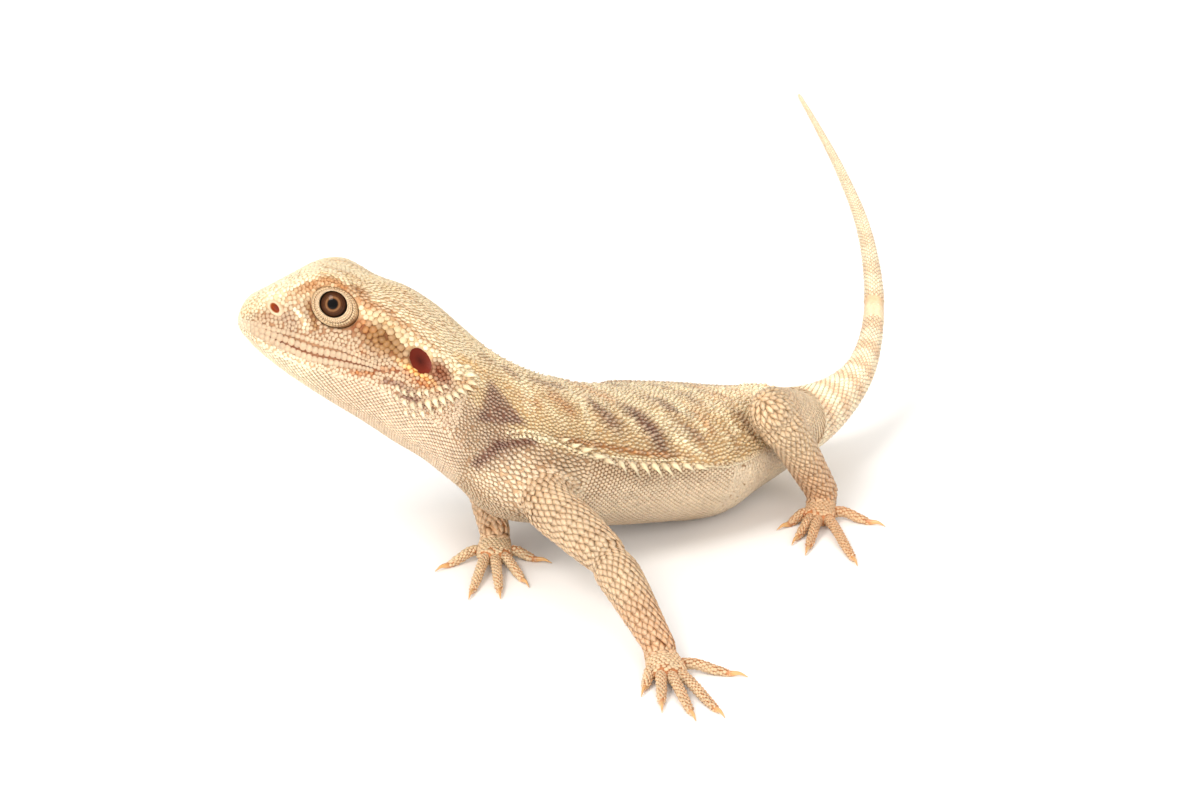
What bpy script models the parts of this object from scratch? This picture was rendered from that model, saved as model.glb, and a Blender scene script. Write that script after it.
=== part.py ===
"""Juvenile central bearded dragon (Pogona vitticeps), a still life-size model lying alert on a flat floor.

Lengths are in millimetres in this file and become metres when a mesh is made. The origin is on the floor under
the middle of the belly. The animal looks along -Y, its left side is +X, and its head is turned to its right.

The body from snout to tail is one loft: each station places a closed loop of six named rails (crown, brow, side,
lip, jaw, chin, mirrored to the other side), and every rail is a smooth curve through the stations. Thin cuts
part that loft into head, jaw, neck, trunk and tail. Legs, toes and claws are tubes along short smooth paths.
"""

import math

import bpy
import numpy as np

MM = 0.001
GAP = 0.3  # clear space between neighbouring solids

# ---- the animal's driving sizes -------------------------------------------------------------------------
SNOUT = np.array((-21.6, -52.1, 31.2))  # tip of the snout
HEAD_YAW, HEAD_PITCH, HEAD_ROLL = 46.0, 16.0, 8.5  # turned right, nose up, left side up; degrees
EYE = dict(back=11.6, side=4.1, up=5.7, radius=2.7)  # eyeball, in the head's own axes from the snout tip
EAR = dict(back=22.5, side=9.3, up=2.7, long=1.75, short=1.15, depth=1.1, slant=-48.0)
MOUTH_CORNER = 19.6  # how far back the lower jaw is parted from the head
MOUTH = ((-1.0, -0.4), (2.5, -0.8), (7.0, -1.05), (10.0, -0.9), (14.0, -0.2), (18.0, 0.3), (21.0, 0.2))
SPINE = dict(first=11.6, last=15.3, length=0.95, direction=(0.86, 0.35, -0.30))  # the row of spines along each flank

COLOURS = {
    "hide": ((0.62, 0.47, 0.30), 0.6),
    "tail": ((0.70, 0.52, 0.37), 0.6),
    "limb": ((0.66, 0.45, 0.31), 0.6),
    "foot": ((0.72, 0.38, 0.20), 0.6),
    "claw": ((0.75, 0.58, 0.36), 0.35),
    "eye": ((0.09, 0.045, 0.02), 0.08),
    "eardrum": ((0.22, 0.03, 0.03), 0.25),
}


# ---- smooth curves and frames -----------------------------------------------------------------------------
def spline(points, at, closed=False):
    """Catmull-Rom curve through rows of points, read at the parameters `at`, where row k has parameter k."""
    points = np.asarray(points, float)
    count = len(points)
    at = np.asarray(at, float)
    k = np.floor(at).astype(int)
    if not closed:
        k = np.clip(k, 0, count - 2)
    f = (at - k)[(...,) + (None,) * (points.ndim - 1)]

    def row(i):
        if closed:
            return points[np.mod(i, count)]
        inner = points[np.clip(i, 0, count - 1)]
        before = 2 * points[0] - points[1]
        after = 2 * points[-1] - points[-2]
        shape = (-1,) + (1,) * (points.ndim - 1)
        inner = np.where((i < 0).reshape(shape), before, inner)
        return np.where((i >= count).reshape(shape), after, inner)

    a, b, c, d = row(k - 1), row(k), row(k + 1), row(k + 2)
    return b + 0.5 * f * (c - a + f * (2 * a - 5 * b + 4 * c - d + f * (3 * (b - c) + d - a)))


def axes(yaw, pitch, roll):
    """Forward, left and up of a body part turned to its right by yaw, nose up by pitch, left side up by roll."""
    yaw, pitch, roll = (math.radians(v) for v in (yaw, pitch, roll))
    level = np.array((-math.sin(yaw), -math.cos(yaw), 0.0))
    left = np.array((math.cos(yaw), -math.sin(yaw), 0.0))
    forward = math.cos(pitch) * level + np.array((0, 0, math.sin(pitch)))
    up = np.cross(forward, left)
    return forward, math.cos(roll) * left + math.sin(roll) * up, math.cos(roll) * up - math.sin(roll) * left


FORWARD, LEFT, UP = axes(HEAD_YAW, HEAD_PITCH, HEAD_ROLL)


def in_head(back, side, up):
    """World place of a point given in the head's own axes, measured from the snout tip."""
    return SNOUT - back * FORWARD + side * LEFT + up * UP


# ---- the body's loft -----------------------------------------------------------------------------------------
def loop(place, turn, crown, brow, side, lip, jaw, chin):
    """The ten corners of one station: crown, the left rails, chin and the right rails."""
    _, left, up = axes(*turn)
    half = [(0.0, crown), brow, side, lip, jaw, (0.0, chin)]
    mirrored = [(-x, z) for x, z in reversed(half[1:5])]
    return [np.asarray(place, float) + x * left + z * up for x, z in half + mirrored]


def head_loop(back, *rails):
    return loop(SNOUT - back * FORWARD, (HEAD_YAW, HEAD_PITCH, HEAD_ROLL), *rails)


def oval(place, turn, half_width, top, row, bottom, back=0.66, belly=0.59):
    """A trunk or tail station: widest at the row of flank spines, `row` above the station's place."""
    brow = (back * half_width, row + 0.74 * (top - row))
    jaw = (belly * half_width, row + 0.81 * (bottom - row))
    side = (half_width, row + 0.06 * (top - row))
    lip = (0.95 * half_width, row + 0.38 * (bottom - row))
    return loop(place, turn, top, brow, side, lip, jaw, bottom)


TAIL_PATH = (  # the tail's middle line, hand-placed: back, then up and round to the animal's right
    (-2.0, 27.9, 8.2), (-5.6, 34.9, 9.6), (-11.7, 42.5, 12.1), (-19.7, 49.9, 15.4),
    (-29.6, 57.3, 18.7), (-41.2, 64.3, 21.9), (-53.0, 70.9, 24.5), (-64.0, 77.2, 26.2),
)
TAIL_HALF = (2.75, 1.95, 1.48, 1.2, 0.96, 0.72, 0.5, 0.3)


def tail_loops():
    path = np.array(((0.0, 20.5, 7.9),) + TAIL_PATH)
    loops = []
    for k, half in enumerate(TAIL_HALF, start=1):
        ahead = path[k - 1] - path[min(k + 1, len(path) - 1)]
        yaw = math.degrees(math.atan2(-ahead[0], -ahead[1]))
        pitch = math.degrees(math.asin(ahead[2] / np.linalg.norm(ahead)))
        loops.append(oval(path[k], (yaw, pitch, 0), half, 0.95 * half, 0.0, -0.95 * half, 0.68, 0.62))
    return loops


def body_stations():
    """Every station from snout to tail tip; a station's index is its parameter along the body."""
    head = [
        head_loop(0.0, 0.0, (0.0, 0.0), (0.0, 0.0), (0.0, 0.0), (0.0, 0.0), 0.0),
        head_loop(0.6, 2.2, (1.7, 1.8), (2.4, 0.5), (2.3, -0.6), (1.5, -1.4), -1.7),
        head_loop(2.5, 4.1, (2.8, 3.6), (3.9, 1.7), (4.1, -0.8), (2.9, -2.4), -2.8),
        head_loop(4.5, 6.1, (3.6, 5.4), (4.5, 2.8), (5.0, -0.9), (3.9, -3.1), -3.7),
        head_loop(7.0, 8.2, (5.0, 7.7), (5.2, 4.2), (6.0, -1.0), (4.9, -3.8), -4.6),
        head_loop(10.0, 9.1, (6.0, 8.6), (6.3, 5.2), (7.1, -0.9), (6.0, -4.4), -5.6),
        head_loop(14.0, 8.7, (6.2, 7.7), (7.5, 4.8), (8.6, -0.2), (7.3, -4.9), -6.8),
        head_loop(18.0, 8.6, (6.5, 7.3), (8.8, 4.4), (9.8, 0.2), (8.4, -5.3), -7.9),
        head_loop(22.0, 7.4, (7.0, 6.1), (9.5, 3.1), (10.3, -0.2), (9.0, -6.2), -9.1),
        head_loop(26.0, 5.4, (7.0, 4.4), (9.3, 1.9), (9.7, -1.6), (8.2, -7.4), -10.2),
    ]
    neck = [
        oval((-0.6, -31.3, 22.3), (35, 20, 5), 7.9, 4.3, -1.0, -12.0, 0.62, 0.74),
        oval((0.3, -27.3, 18.8), (18, 22, 2), 9.2, 5.2, -1.2, -12.6, 0.62, 0.74),
    ]
    trunk = [
        oval((0.0, -22.3, 15.8), (5, 16, 0), 10.6, 5.8, -0.6, -11.8),
        oval((0.0, -15.5, 13.2), (0, 10, 0), 11.8, 5.9, -0.6, -11.0),
        oval((0.0, -8.0, 11.3), (0, 7, 0), 12.5, 5.9, -0.3, -10.6),
        oval((0.0, -0.5, 10.0), (0, 5, 0), 11.8, 5.5, 0.0, -10.7),
        oval((0.0, 6.8, 9.2), (0, 4, 0), 8.2, 4.4, 0.0, -9.2),
        oval((0.0, 13.8, 8.5), (0, 3, 0), 6.9, 3.5, 0.0, -6.4),
        oval((0.0, 20.5, 7.9), (2, 0, 0), 4.9, 3.0, 0.0, -4.2),
    ]
    return np.array(head + neck + trunk + tail_loops())


BODY = body_stations()
# rises and hollows of the surface: along the body, round it, reach in each, height along the surface's normal
FORMS = (
    (4.9, 1.30, 0.9, 0.35, 0.45),  # brow ridge
    (4.0, 1.90, 0.7, 0.40, -0.30),  # hollow before the eye
    (7.0, 2.45, 1.2, 0.60, 0.35),  # jaw muscle
    (9.2, 2.80, 0.7, 0.80, 0.50),  # rear corner of the jaw
    (10.5, 2.60, 0.6, 0.90, -0.55),  # side of the neck
    (12.1, 2.90, 0.7, 0.90, 0.50),  # shoulder
)


def body_surface(along, around, grow=0.0):
    """Grid of points on the body at every pair of the two parameter lists, moved outwards by grow."""
    along, around = np.asarray(along, float), np.asarray(around, float)

    def place(a, r):
        return spline(np.swapaxes(spline(BODY, a), 0, 1), r, closed=True).swapaxes(0, 1)

    points = place(along, around)
    step = 0.02
    tangent = place(along + step, around) - place(along - step, around)
    across = place(along, around + step) - place(along, around - step)
    normal = np.cross(across, tangent)
    size = np.linalg.norm(normal, axis=-1, keepdims=True)
    normal = np.where(size > 1e-9, normal / np.maximum(size, 1e-9), FORWARD)
    rise = np.full(points.shape[:2], float(grow))
    a, r = along[:, None], around[None, :]
    for at, side, reach, spread, height in FORMS:
        for mirror in (side, 10.0 - side):
            rise += height * np.exp(-(((a - at) / reach) ** 2) - ((r - mirror) / spread) ** 2)
    points = points + rise[..., None] * normal
    points[..., 2] = np.maximum(points[..., 2], -grow)
    return points


# ---- meshes -----------------------------------------------------------------------------------------------------
def mesh_of_rings(name, rings):
    """A closed mesh from a grid of rings; a ring that has shrunk to a point becomes a pole, others get a cap."""
    rings = np.asarray(rings, float)
    count, sides = rings.shape[:2]
    points, faces, rows = [], [], []
    for ring in rings:
        first = len(points)
        if np.ptp(ring, axis=0).max() < 1e-6:
            points.append(ring[0])
            rows.append([first] * sides)
        else:
            points.extend(ring)
            rows.append(list(range(first, first + sides)))
    for here, there in zip(rows, rows[1:]):
        for k in range(sides):
            m = (k + 1) % sides
            corners = dict.fromkeys((here[k], here[m], there[m], there[k]))
            faces.append(list(corners))
    for row, ring, order in ((rows[0], rings[0], -1), (rows[-1], rings[-1], 1)):
        if row[0] != row[1]:
            middle = len(points)
            points.append(ring.mean(axis=0))
            faces.extend([[row[k], row[(k + 1) % sides], middle][::order] for k in range(sides)])
    mesh = bpy.data.meshes.new(name)
    mesh.from_pydata([tuple(p * MM) for p in points], [], faces)
    mesh.update()
    mesh.shade_smooth()
    mesh.set_sharp_from_angle(angle=math.radians(50))
    return mesh


def material(slot):
    name = f"{slot}_colour"
    made = bpy.data.materials.get(name)
    if made is None:
        colour, roughness = COLOURS[slot]
        made = bpy.data.materials.new(name)
        made.use_nodes = True
        shader = made.node_tree.nodes["Principled BSDF"]
        shader.inputs["Base Color"].default_value = (*colour, 1.0)
        shader.inputs["Roughness"].default_value = roughness
        made.diffuse_color = (*colour, 1.0)
    return made


def add_object(name, mesh, slot):
    made = bpy.data.objects.new(name, mesh)
    bpy.context.scene.collection.objects.link(made)
    if not mesh.materials:
        mesh.materials.append(material(slot))
    return made


def add_cutter(name, mesh):
    made = bpy.data.objects.new(name, mesh)
    bpy.context.scene.collection.objects.link(made)
    made.hide_render = True
    made.display_type = "WIRE"
    return made


def combine(target, operation, cutter):
    modifier = target.modifiers.new(f"{operation.lower()} {cutter.name}", "BOOLEAN")
    modifier.operation = operation
    modifier.solver = "EXACT"
    modifier.object = cutter


def box_mesh(name, low, high):
    (x0, y0, z0), (x1, y1, z1) = low, high
    rings = [[(x0, y0, z), (x0, y1, z), (x1, y1, z), (x1, y0, z)] for z in (z1, z0)]
    return mesh_of_rings(name, rings)


# ---- head, neck, trunk and tail -----------------------------------------------------------------------------
AROUND = np.arange(0, 10, 0.5)
LEFT_SIDE = np.array((0.6, 1.2, 1.75, 2.0, 2.25, 2.8, 3.4, 4.0, 4.5))  # close together beside the spines
AROUND_TRUNK = np.concatenate([(0.0,), LEFT_SIDE, (5.0,), 10.0 - LEFT_SIDE[::-1]])
AROUND_TAIL = np.linspace(0, 10, 12, endpoint=False)
CUTS = dict(neck=9.35, trunk=11.55, tail_1=17.7, tail_2=19.6, tail_3=21.6, tail_4=23.6)
LAST = len(BODY) - 1.0


def parameters(start, end, step):
    """Evenly spread values from start to end, about step apart."""
    return np.linspace(start, end, max(2, round((end - start) / step) + 1))


def half_gap(cut):
    """The parameter step that is half a gap long at a cut, on the side of the body where it is shortest."""
    rails = body_surface([cut - 0.05, cut + 0.05], AROUND)
    return 0.1 * (GAP / 2) / np.linalg.norm(rails[1] - rails[0], axis=-1).min()


def body_piece(name, slot, along, around=AROUND, spined=False):
    rings = body_surface(along, around)
    if spined:
        raise_spines(rings, along, around)
    return add_object(name, mesh_of_rings(name, rings), slot)


def raise_spines(rings, along, around):
    """Every second ring on the flank rail is drawn out into a spine that points out and a little back and down."""
    out, back, down = SPINE["direction"]
    for rail, side in ((2.0, 1.0), (8.0, -1.0)):
        k = int(np.argmin(abs(around - rail)))
        fade = np.clip((along - SPINE["first"]) * 3 + 0.4, 0, 1) * np.clip((SPINE["last"] - along) * 2, 0, 1)
        odd = (np.arange(len(along)) % 2) * fade * SPINE["length"]
        rings[:, k] += odd[:, None] * np.array((out * side, back, down))


def make_head():
    """The skull with its eye sockets and ear pits, and the lower jaw, parted along the mouth line."""
    start, end = 0.0, CUTS["neck"] - half_gap(CUTS["neck"])
    head = body_piece("head", "hide", parameters(start, end, 0.5))
    jaw = body_piece("lower_jaw", "hide", parameters(start, end, 0.5))
    below = mouth_block("below_mouth", GAP / 2)
    combine(head, "DIFFERENCE", below)
    combine(jaw, "INTERSECT", mouth_block("mouth_floor", -GAP / 2))
    for side, word in ((1, "left"), (-1, "right")):
        socket = ball(f"socket_{word}", EYE["radius"] + GAP, side)
        combine(head, "DIFFERENCE", add_cutter(f"socket_{word}", socket))
        pit = ear_disc(f"ear_pit_{word}", side, 0.0, EAR["depth"], -3.0)
        combine(head, "DIFFERENCE", add_cutter(f"ear_pit_{word}", pit))


def mouth_block(name, shift):
    """A block across the head below the mouth line, moved up and back by shift."""
    line = [(back, up + shift) for back, up in MOUTH if back < MOUTH_CORNER]
    line.append((MOUTH_CORNER + shift, 0.25 + shift))
    outline = [(-2.0, -14.0), (-2.0, line[0][1])] + line[1:] + [(MOUTH_CORNER + shift, -14.0)]
    rings = [[in_head(back, side, up) for back, up in outline] for side in (14.0, -14.0)]
    return add_cutter(name, mesh_of_rings(name, rings))


def ball(name, radius, side, rows=9, sides=14):
    """A globe whose poles lie across the head, for an eyeball or its socket."""
    middle = in_head(EYE["back"], side * EYE["side"], EYE["up"])
    rings = []
    for turn in np.linspace(0, math.pi, rows):
        out, ring = radius * math.cos(turn), radius * math.sin(turn)
        angles = np.linspace(0, 2 * math.pi, sides, endpoint=False)
        rings.append([middle + side * out * LEFT + ring * (math.cos(t) * side * FORWARD + math.sin(t) * UP)
                      for t in angles])
    return mesh_of_rings(name, rings)


def ear_disc(name, side, shrink, deep, shallow, sides=14):
    """An oval disc let into the side of the head, from `deep` to `shallow` below its surface."""
    slant = math.radians(EAR["slant"])
    long_axis = -math.cos(slant) * FORWARD + math.sin(slant) * UP
    short_axis = math.sin(slant) * FORWARD + math.cos(slant) * UP
    middle = in_head(EAR["back"], side * EAR["side"], EAR["up"])
    rings = []
    for depth in (deep, shallow):
        ring = []
        for t in np.linspace(0, 2 * math.pi, sides, endpoint=False):
            reach = (EAR["long"] - shrink) * math.cos(t) * long_axis + (EAR["short"] - shrink) * math.sin(t) * short_axis
            ring.append(middle - side * depth * LEFT + reach)
        rings.append(ring if side > 0 else ring[::-1])
    return mesh_of_rings(name, rings)


def make_eyes_and_ears():
    for side, word in ((1, "left"), (-1, "right")):
        add_object(f"eye_{word}", ball(f"eye_{word}", EYE["radius"], side), "eye")
        drum = ear_disc(f"eardrum_{word}", side, GAP, EAR["depth"] - GAP, EAR["depth"] - GAP - 0.6)
        add_object(f"eardrum_{word}", drum, "eardrum")


def make_neck_trunk_and_tail():
    names = list(CUTS)
    for name, end in zip(names, [CUTS[after] for after in names[1:]] + [LAST]):
        start = CUTS[name] + half_gap(CUTS[name])
        stop = LAST if end == LAST else end - half_gap(end)
        if name == "neck":
            body_piece(name, "hide", parameters(start, stop, 0.4))
        elif name == "trunk":
            along = np.concatenate([parameters(start, SPINE["last"], 0.115), parameters(SPINE["last"] + 0.3, stop, 0.35)])
            body_piece(name, "hide", along, AROUND_TRUNK, spined=True)
        else:
            body_piece(name, "tail", parameters(start, stop, 0.4), AROUND_TAIL)


# ---- legs ---------------------------------------------------------------------------------------------------------
def tube_rings(path, wide, tall, steps, sides, across=None, grow=0.0, end="round"):
    """Rings of an oval tube along a smooth path; wide and tall are half-sizes keyed at the path's points."""
    at = np.linspace(0, len(path) - 1, steps)
    middle = spline(path, at)
    tangent = spline(path, at + 0.01) - spline(path, at - 0.01)
    tangent /= np.linalg.norm(tangent, axis=1, keepdims=True)
    half = spline(np.stack([wide, tall], -1), at) + grow
    level = np.cross(np.array((0.0, 0.0, 1.0)), tangent) if across is None else np.tile(across, (steps, 1))
    level -= (level * tangent).sum(1, keepdims=True) * tangent
    level /= np.linalg.norm(level, axis=1, keepdims=True)
    rise = np.cross(tangent, level)
    angles = np.linspace(0, 2 * math.pi, sides, endpoint=False)
    out = np.cos(angles)[None, :, None] * (half[:, :1] * level)[:, None] \
        + np.sin(angles)[None, :, None] * (half[:, 1:] * rise)[:, None]
    rings = middle[:, None] + out
    if end == "round":
        lean = np.radians((40, 90))[:, None, None]
        dome = middle[-1] + out[-1] * np.cos(lean) + np.sin(lean) * half[-1].mean() * tangent[-1]
        rings = np.concatenate([rings, dome])
    return rings


LEGS = {
    # joints from inside the body to the wrist or ankle, with the half-sizes there; the heading of the palm or
    # sole; and each toe's turn from that heading towards the thumb side, with its length
    "fore_left": dict(
        joints=((5.5, -26.5, 11.6), (9.6, -30.8, 11.2), (20.6, -31.5, 8.4), (34.4, -34.9, 2.4)),
        wide=(3.4, 3.1, 2.55, 1.9), tall=(3.6, 3.2, 2.55, 1.6), middle=2.5,
        palm=4.0, palm_half=2.2, heading=-26, thumb=-1,
        toes=((26, 3.6), (14, 6.8), (0, 9.6), (-12, 9.8), (-62, 5.8))),
    "fore_right": dict(
        joints=((-5.0, -24.5, 12.8), (-8.8, -25.1, 12.4), (-16.8, -21.1, 8.4), (-4.2, -27.8, 2.4)),
        wide=(3.8, 3.4, 2.4, 1.9), tall=(4.2, 3.6, 2.5, 1.6), middle=2.3,
        palm=4.0, palm_half=2.2, heading=-40, thumb=1,
        toes=((70, 3.4), (23, 6.8), (5, 9.6), (-9, 9.8), (-46, 5.2))),
    "hind_left": dict(
        joints=((3.5, 14.0, 9.0), (6.0, 11.5, 10.0), (13.0, 1.3, 16.0), (12.2, 10.8, 3.0)),
        wide=(4.2, 4.2, 2.8, 2.2), tall=(4.4, 4.2, 2.9, 2.0), middle=2.6,
        palm=3.9, palm_half=2.0, heading=-46, thumb=-1,
        toes=((40, 3.4), (16, 6.0), (6, 8.8), (-18, 12.2), (-70, 4.8))),
    "hind_right": dict(
        joints=((-3.5, 14.0, 8.0), (-6.0, 11.5, 8.0), (-15.8, 0.4, 9.3), (-20.8, 14.4, 3.0)),
        wide=(4.0, 3.8, 2.8, 2.0), tall=(4.0, 3.6, 2.8, 1.9), middle=2.6,
        palm=3.9, palm_half=2.0, heading=-138, thumb=1,
        toes=((44, 3.8), (20, 6.2), (6, 8.8), (-13, 12.2), (-52, 5.8))),
}
PART_NAMES = {"fore": ("upper_arm", "forearm", "hand"), "hind": ("thigh", "shank", "foot")}
TOE_HALF = 0.74
CLAW = dict(length=2.0, half=0.42)


def floor_direction(degrees):
    return np.array((math.cos(math.radians(degrees)), math.sin(math.radians(degrees)), 0.0))


def make_leg(name, leg, body_core, floor):
    """Two leg lengths and a foot; each is hollowed at its top to sit round the joint above it."""
    fore, side = name.split("_")
    upper_name, lower_name, foot_name = (f"{part}_{side}" for part in PART_NAMES[fore])
    root, hip, bend, ankle = (np.array(p) for p in leg["joints"])
    wide, tall = leg["wide"], leg["tall"]
    middle = [0.5 * (half[1] + half[2]) + 0.1 for half in (wide, tall)]
    upper = dict(path=[root, hip, 0.5 * (hip + bend), bend], wide=(*wide[:2], middle[0], wide[2]),
                 tall=(*tall[:2], middle[1], tall[2]), steps=6, sides=12)
    thigh = add_object(upper_name, mesh_of_rings(upper_name, tube_rings(**upper)), "limb")
    combine(thigh, "DIFFERENCE", body_core)
    knee = add_cutter(f"{upper_name}_clear", mesh_of_rings(upper_name, tube_rings(**upper, grow=GAP)))

    start = bend + 0.04 * (ankle - bend)
    bulge = bend + 0.42 * (ankle - bend) + np.array((0, 0, 0.5))
    lower = dict(path=[start, bend + 0.2 * (ankle - bend) + np.array((0, 0, 0.3)), bulge, ankle],
                 wide=(0.78 * wide[2], wide[2], leg["middle"], wide[3]),
                 tall=(0.78 * tall[2], tall[2], leg["middle"], tall[3]), steps=7, sides=12)
    shank = add_object(lower_name, mesh_of_rings(lower_name, tube_rings(**lower)), "limb")
    combine(shank, "DIFFERENCE", knee)
    combine(shank, "DIFFERENCE", body_core)
    heel = add_cutter(f"{lower_name}_clear", mesh_of_rings(lower_name, tube_rings(**lower, grow=GAP)))
    foot = make_foot(foot_name, leg, ankle)
    combine(foot, "DIFFERENCE", heel)
    combine(foot, "DIFFERENCE", floor)
    combine(shank, "DIFFERENCE", floor)


def make_foot(name, leg, ankle):
    """A flat palm with five toes joined to it, and a claw before each toe."""
    heading = floor_direction(leg["heading"])
    across = np.cross((0.0, 0.0, 1.0), heading)
    knuckles = ankle + leg["palm"] * heading
    knuckles[2] = 0.95
    heel = ankle - 0.6 * heading
    heel[2] = 1.4
    palm = [heel, 0.5 * (heel + knuckles), knuckles]
    rings = tube_rings(palm, (0.85 * leg["wide"][3], 0.96 * leg["palm_half"], leg["palm_half"]),
                       (1.5, 1.4, 1.1), 4, 10, across)
    foot = add_object(name, mesh_of_rings(name, rings), "foot")
    for number, (turn, length) in enumerate(leg["toes"], start=1):
        direction = floor_direction(leg["heading"] + leg["thumb"] * turn)
        spread = (3 - number) / 2 * 0.70 * leg["palm_half"] * leg["thumb"]
        set_back = {1: 1.6, 5: 2.3}.get(number, 0.6)
        start = knuckles - set_back * heading + spread * across
        path = [start + share * length * direction for share in (0, 0.35, 0.72, 1)]
        for point, height in zip(path, (0.95, 1.25, 0.80, 0.38)):
            point[2] = height
        half = TOE_HALF * np.array((1.15, 1.02, 0.92, 0.68))
        toe = tube_rings(path, half, half, 5, 6, end="flat")
        combine(foot, "UNION", add_cutter(f"{name}_toe_{number}", mesh_of_rings(name, toe)))
        make_claw(f"{name}_claw_{number}", path[-1] + 1.1 * GAP * direction, direction)
    return foot


def make_claw(name, start, direction):
    """A short curved cone that arches forward and down to a point just over the floor."""
    rise = np.array((0.0, 0.0, 1.0))
    length, half = CLAW["length"], CLAW["half"]
    path = [start, start + 0.5 * length * direction + 0.14 * rise, start + length * direction - 0.22 * rise]
    rings = tube_rings(path, (half, 0.62 * half, 0.25 * half), (half, 0.7 * half, 0.25 * half), 3, 5, end="flat")
    add_object(name, mesh_of_rings(name, rings), "claw")


def make_legs():
    core = add_cutter("body_core", mesh_of_rings("body_core", body_surface(parameters(0, LAST, 0.4), AROUND, GAP)))
    floor = add_cutter("floor_block", box_mesh("floor_block", (-90, -90, -20), (90, 120, 0)))
    for name, leg in LEGS.items():
        make_leg(name, leg, core, floor)


def main():
    for old in list(bpy.data.objects):
        bpy.data.objects.remove(old, do_unlink=True)
    make_head()
    make_eyes_and_ears()
    make_neck_trunk_and_tail()
    make_legs()


main()
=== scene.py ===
"""Looks of the juvenile bearded dragon: skin, scales, spines, eyes, lids, ears, nostrils and claws.

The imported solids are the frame. One skin stands for all the nodes of flesh and lies inside them by the coat's
depth. Scales are small closed meshes set over the skin in staggered rows, or packed irregularly, with their
tips towards the tail or the toes. Shape formulas work in millimetres, in the frame's own axes: the animal
looks along -Y, its left side is +X, and the floor is z = 0.
"""

import math

import bpy
import numpy as np
from bpy.props import FloatProperty, FloatVectorProperty, PointerProperty
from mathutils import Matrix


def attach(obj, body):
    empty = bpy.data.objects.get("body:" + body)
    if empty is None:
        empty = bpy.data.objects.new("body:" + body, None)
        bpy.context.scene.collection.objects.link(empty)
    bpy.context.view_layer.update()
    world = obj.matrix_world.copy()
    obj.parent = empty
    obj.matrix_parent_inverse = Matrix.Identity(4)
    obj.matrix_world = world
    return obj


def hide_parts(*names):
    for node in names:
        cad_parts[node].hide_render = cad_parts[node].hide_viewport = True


bl_info = {
    "name": "Bearded dragon looks",
    "version": (1, 0, 0),
    "blender": (4, 5, 0),
    "location": "3D View > Sidebar > Dragon",
    "description": "Skin, scales, eyes and claws around the bearded dragon's solids",
    "category": "Object",
}

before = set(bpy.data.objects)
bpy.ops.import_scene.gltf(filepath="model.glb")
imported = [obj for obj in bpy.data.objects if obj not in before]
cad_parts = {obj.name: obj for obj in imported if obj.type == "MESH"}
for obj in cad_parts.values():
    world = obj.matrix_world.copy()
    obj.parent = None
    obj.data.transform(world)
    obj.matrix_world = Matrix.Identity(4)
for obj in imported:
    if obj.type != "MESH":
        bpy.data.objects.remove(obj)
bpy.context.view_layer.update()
MM = 0.001


def srgb(red, green, blue):
    """Scene-linear colour of a display colour given in 0 to 255."""
    c = np.array((red, green, blue)) / 255.0
    linear = np.where(c <= 0.04045, c / 12.92, ((c + 0.055) / 1.055) ** 2.4)
    return tuple(float(v) for v in linear)


# ---- the sizes and colours that a user would change ----
def length(name, description, millimetres):
    """A size that the panel shows as a length."""
    return FloatProperty(name=name, description=description, default=millimetres * MM, min=0.0, precision=5,
                         subtype="DISTANCE", unit="LENGTH")


def colour(name, description, red, green, blue):
    """A colour that the panel shows, given as a display colour in 0 to 255."""
    return FloatVectorProperty(name=name, description=description, default=srgb(red, green, blue), min=0.0,
                               max=1.0, size=3, subtype="COLOR")


class DragonSizes(bpy.types.PropertyGroup):
    """Sizes of the skin, its scales and the eye."""

    coat: length("Coat depth", "How far the skin lies inside the outer shape", 0.20)
    voxel: length("Skin grain", "Spacing of the skin's mesh", 0.30)
    head_scale: length("Head scale", "Width of the plates on the crown and muzzle", 0.52)
    lip_scale: length("Lip scale", "Width of the plates along the mouth", 0.80)
    beard_scale: length("Beard scale", "Width of the scales on the throat", 0.47)
    neck_scale: length("Neck scale", "Width of the small scales on the neck's sides", 0.42)
    back_scale: length("Back scale", "Width of the keeled scales on the back", 0.52)
    belly_scale: length("Belly scale", "Width of the scales on the flank and belly", 0.50)
    tail_scale: length("Tail scale", "Width of the scales at the tail's root", 0.80)
    limb_scale: length("Limb scale", "Width of the scales on the legs", 0.80)
    toe_scale: length("Toe scale", "Width of the scales on the toes", 0.44)
    spine_length: length("Flank spine", "Length of the longest spines along the flank", 2.1)
    eye_opening: length("Eye opening", "Half-width of the opening between the lids", 1.62)


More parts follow.
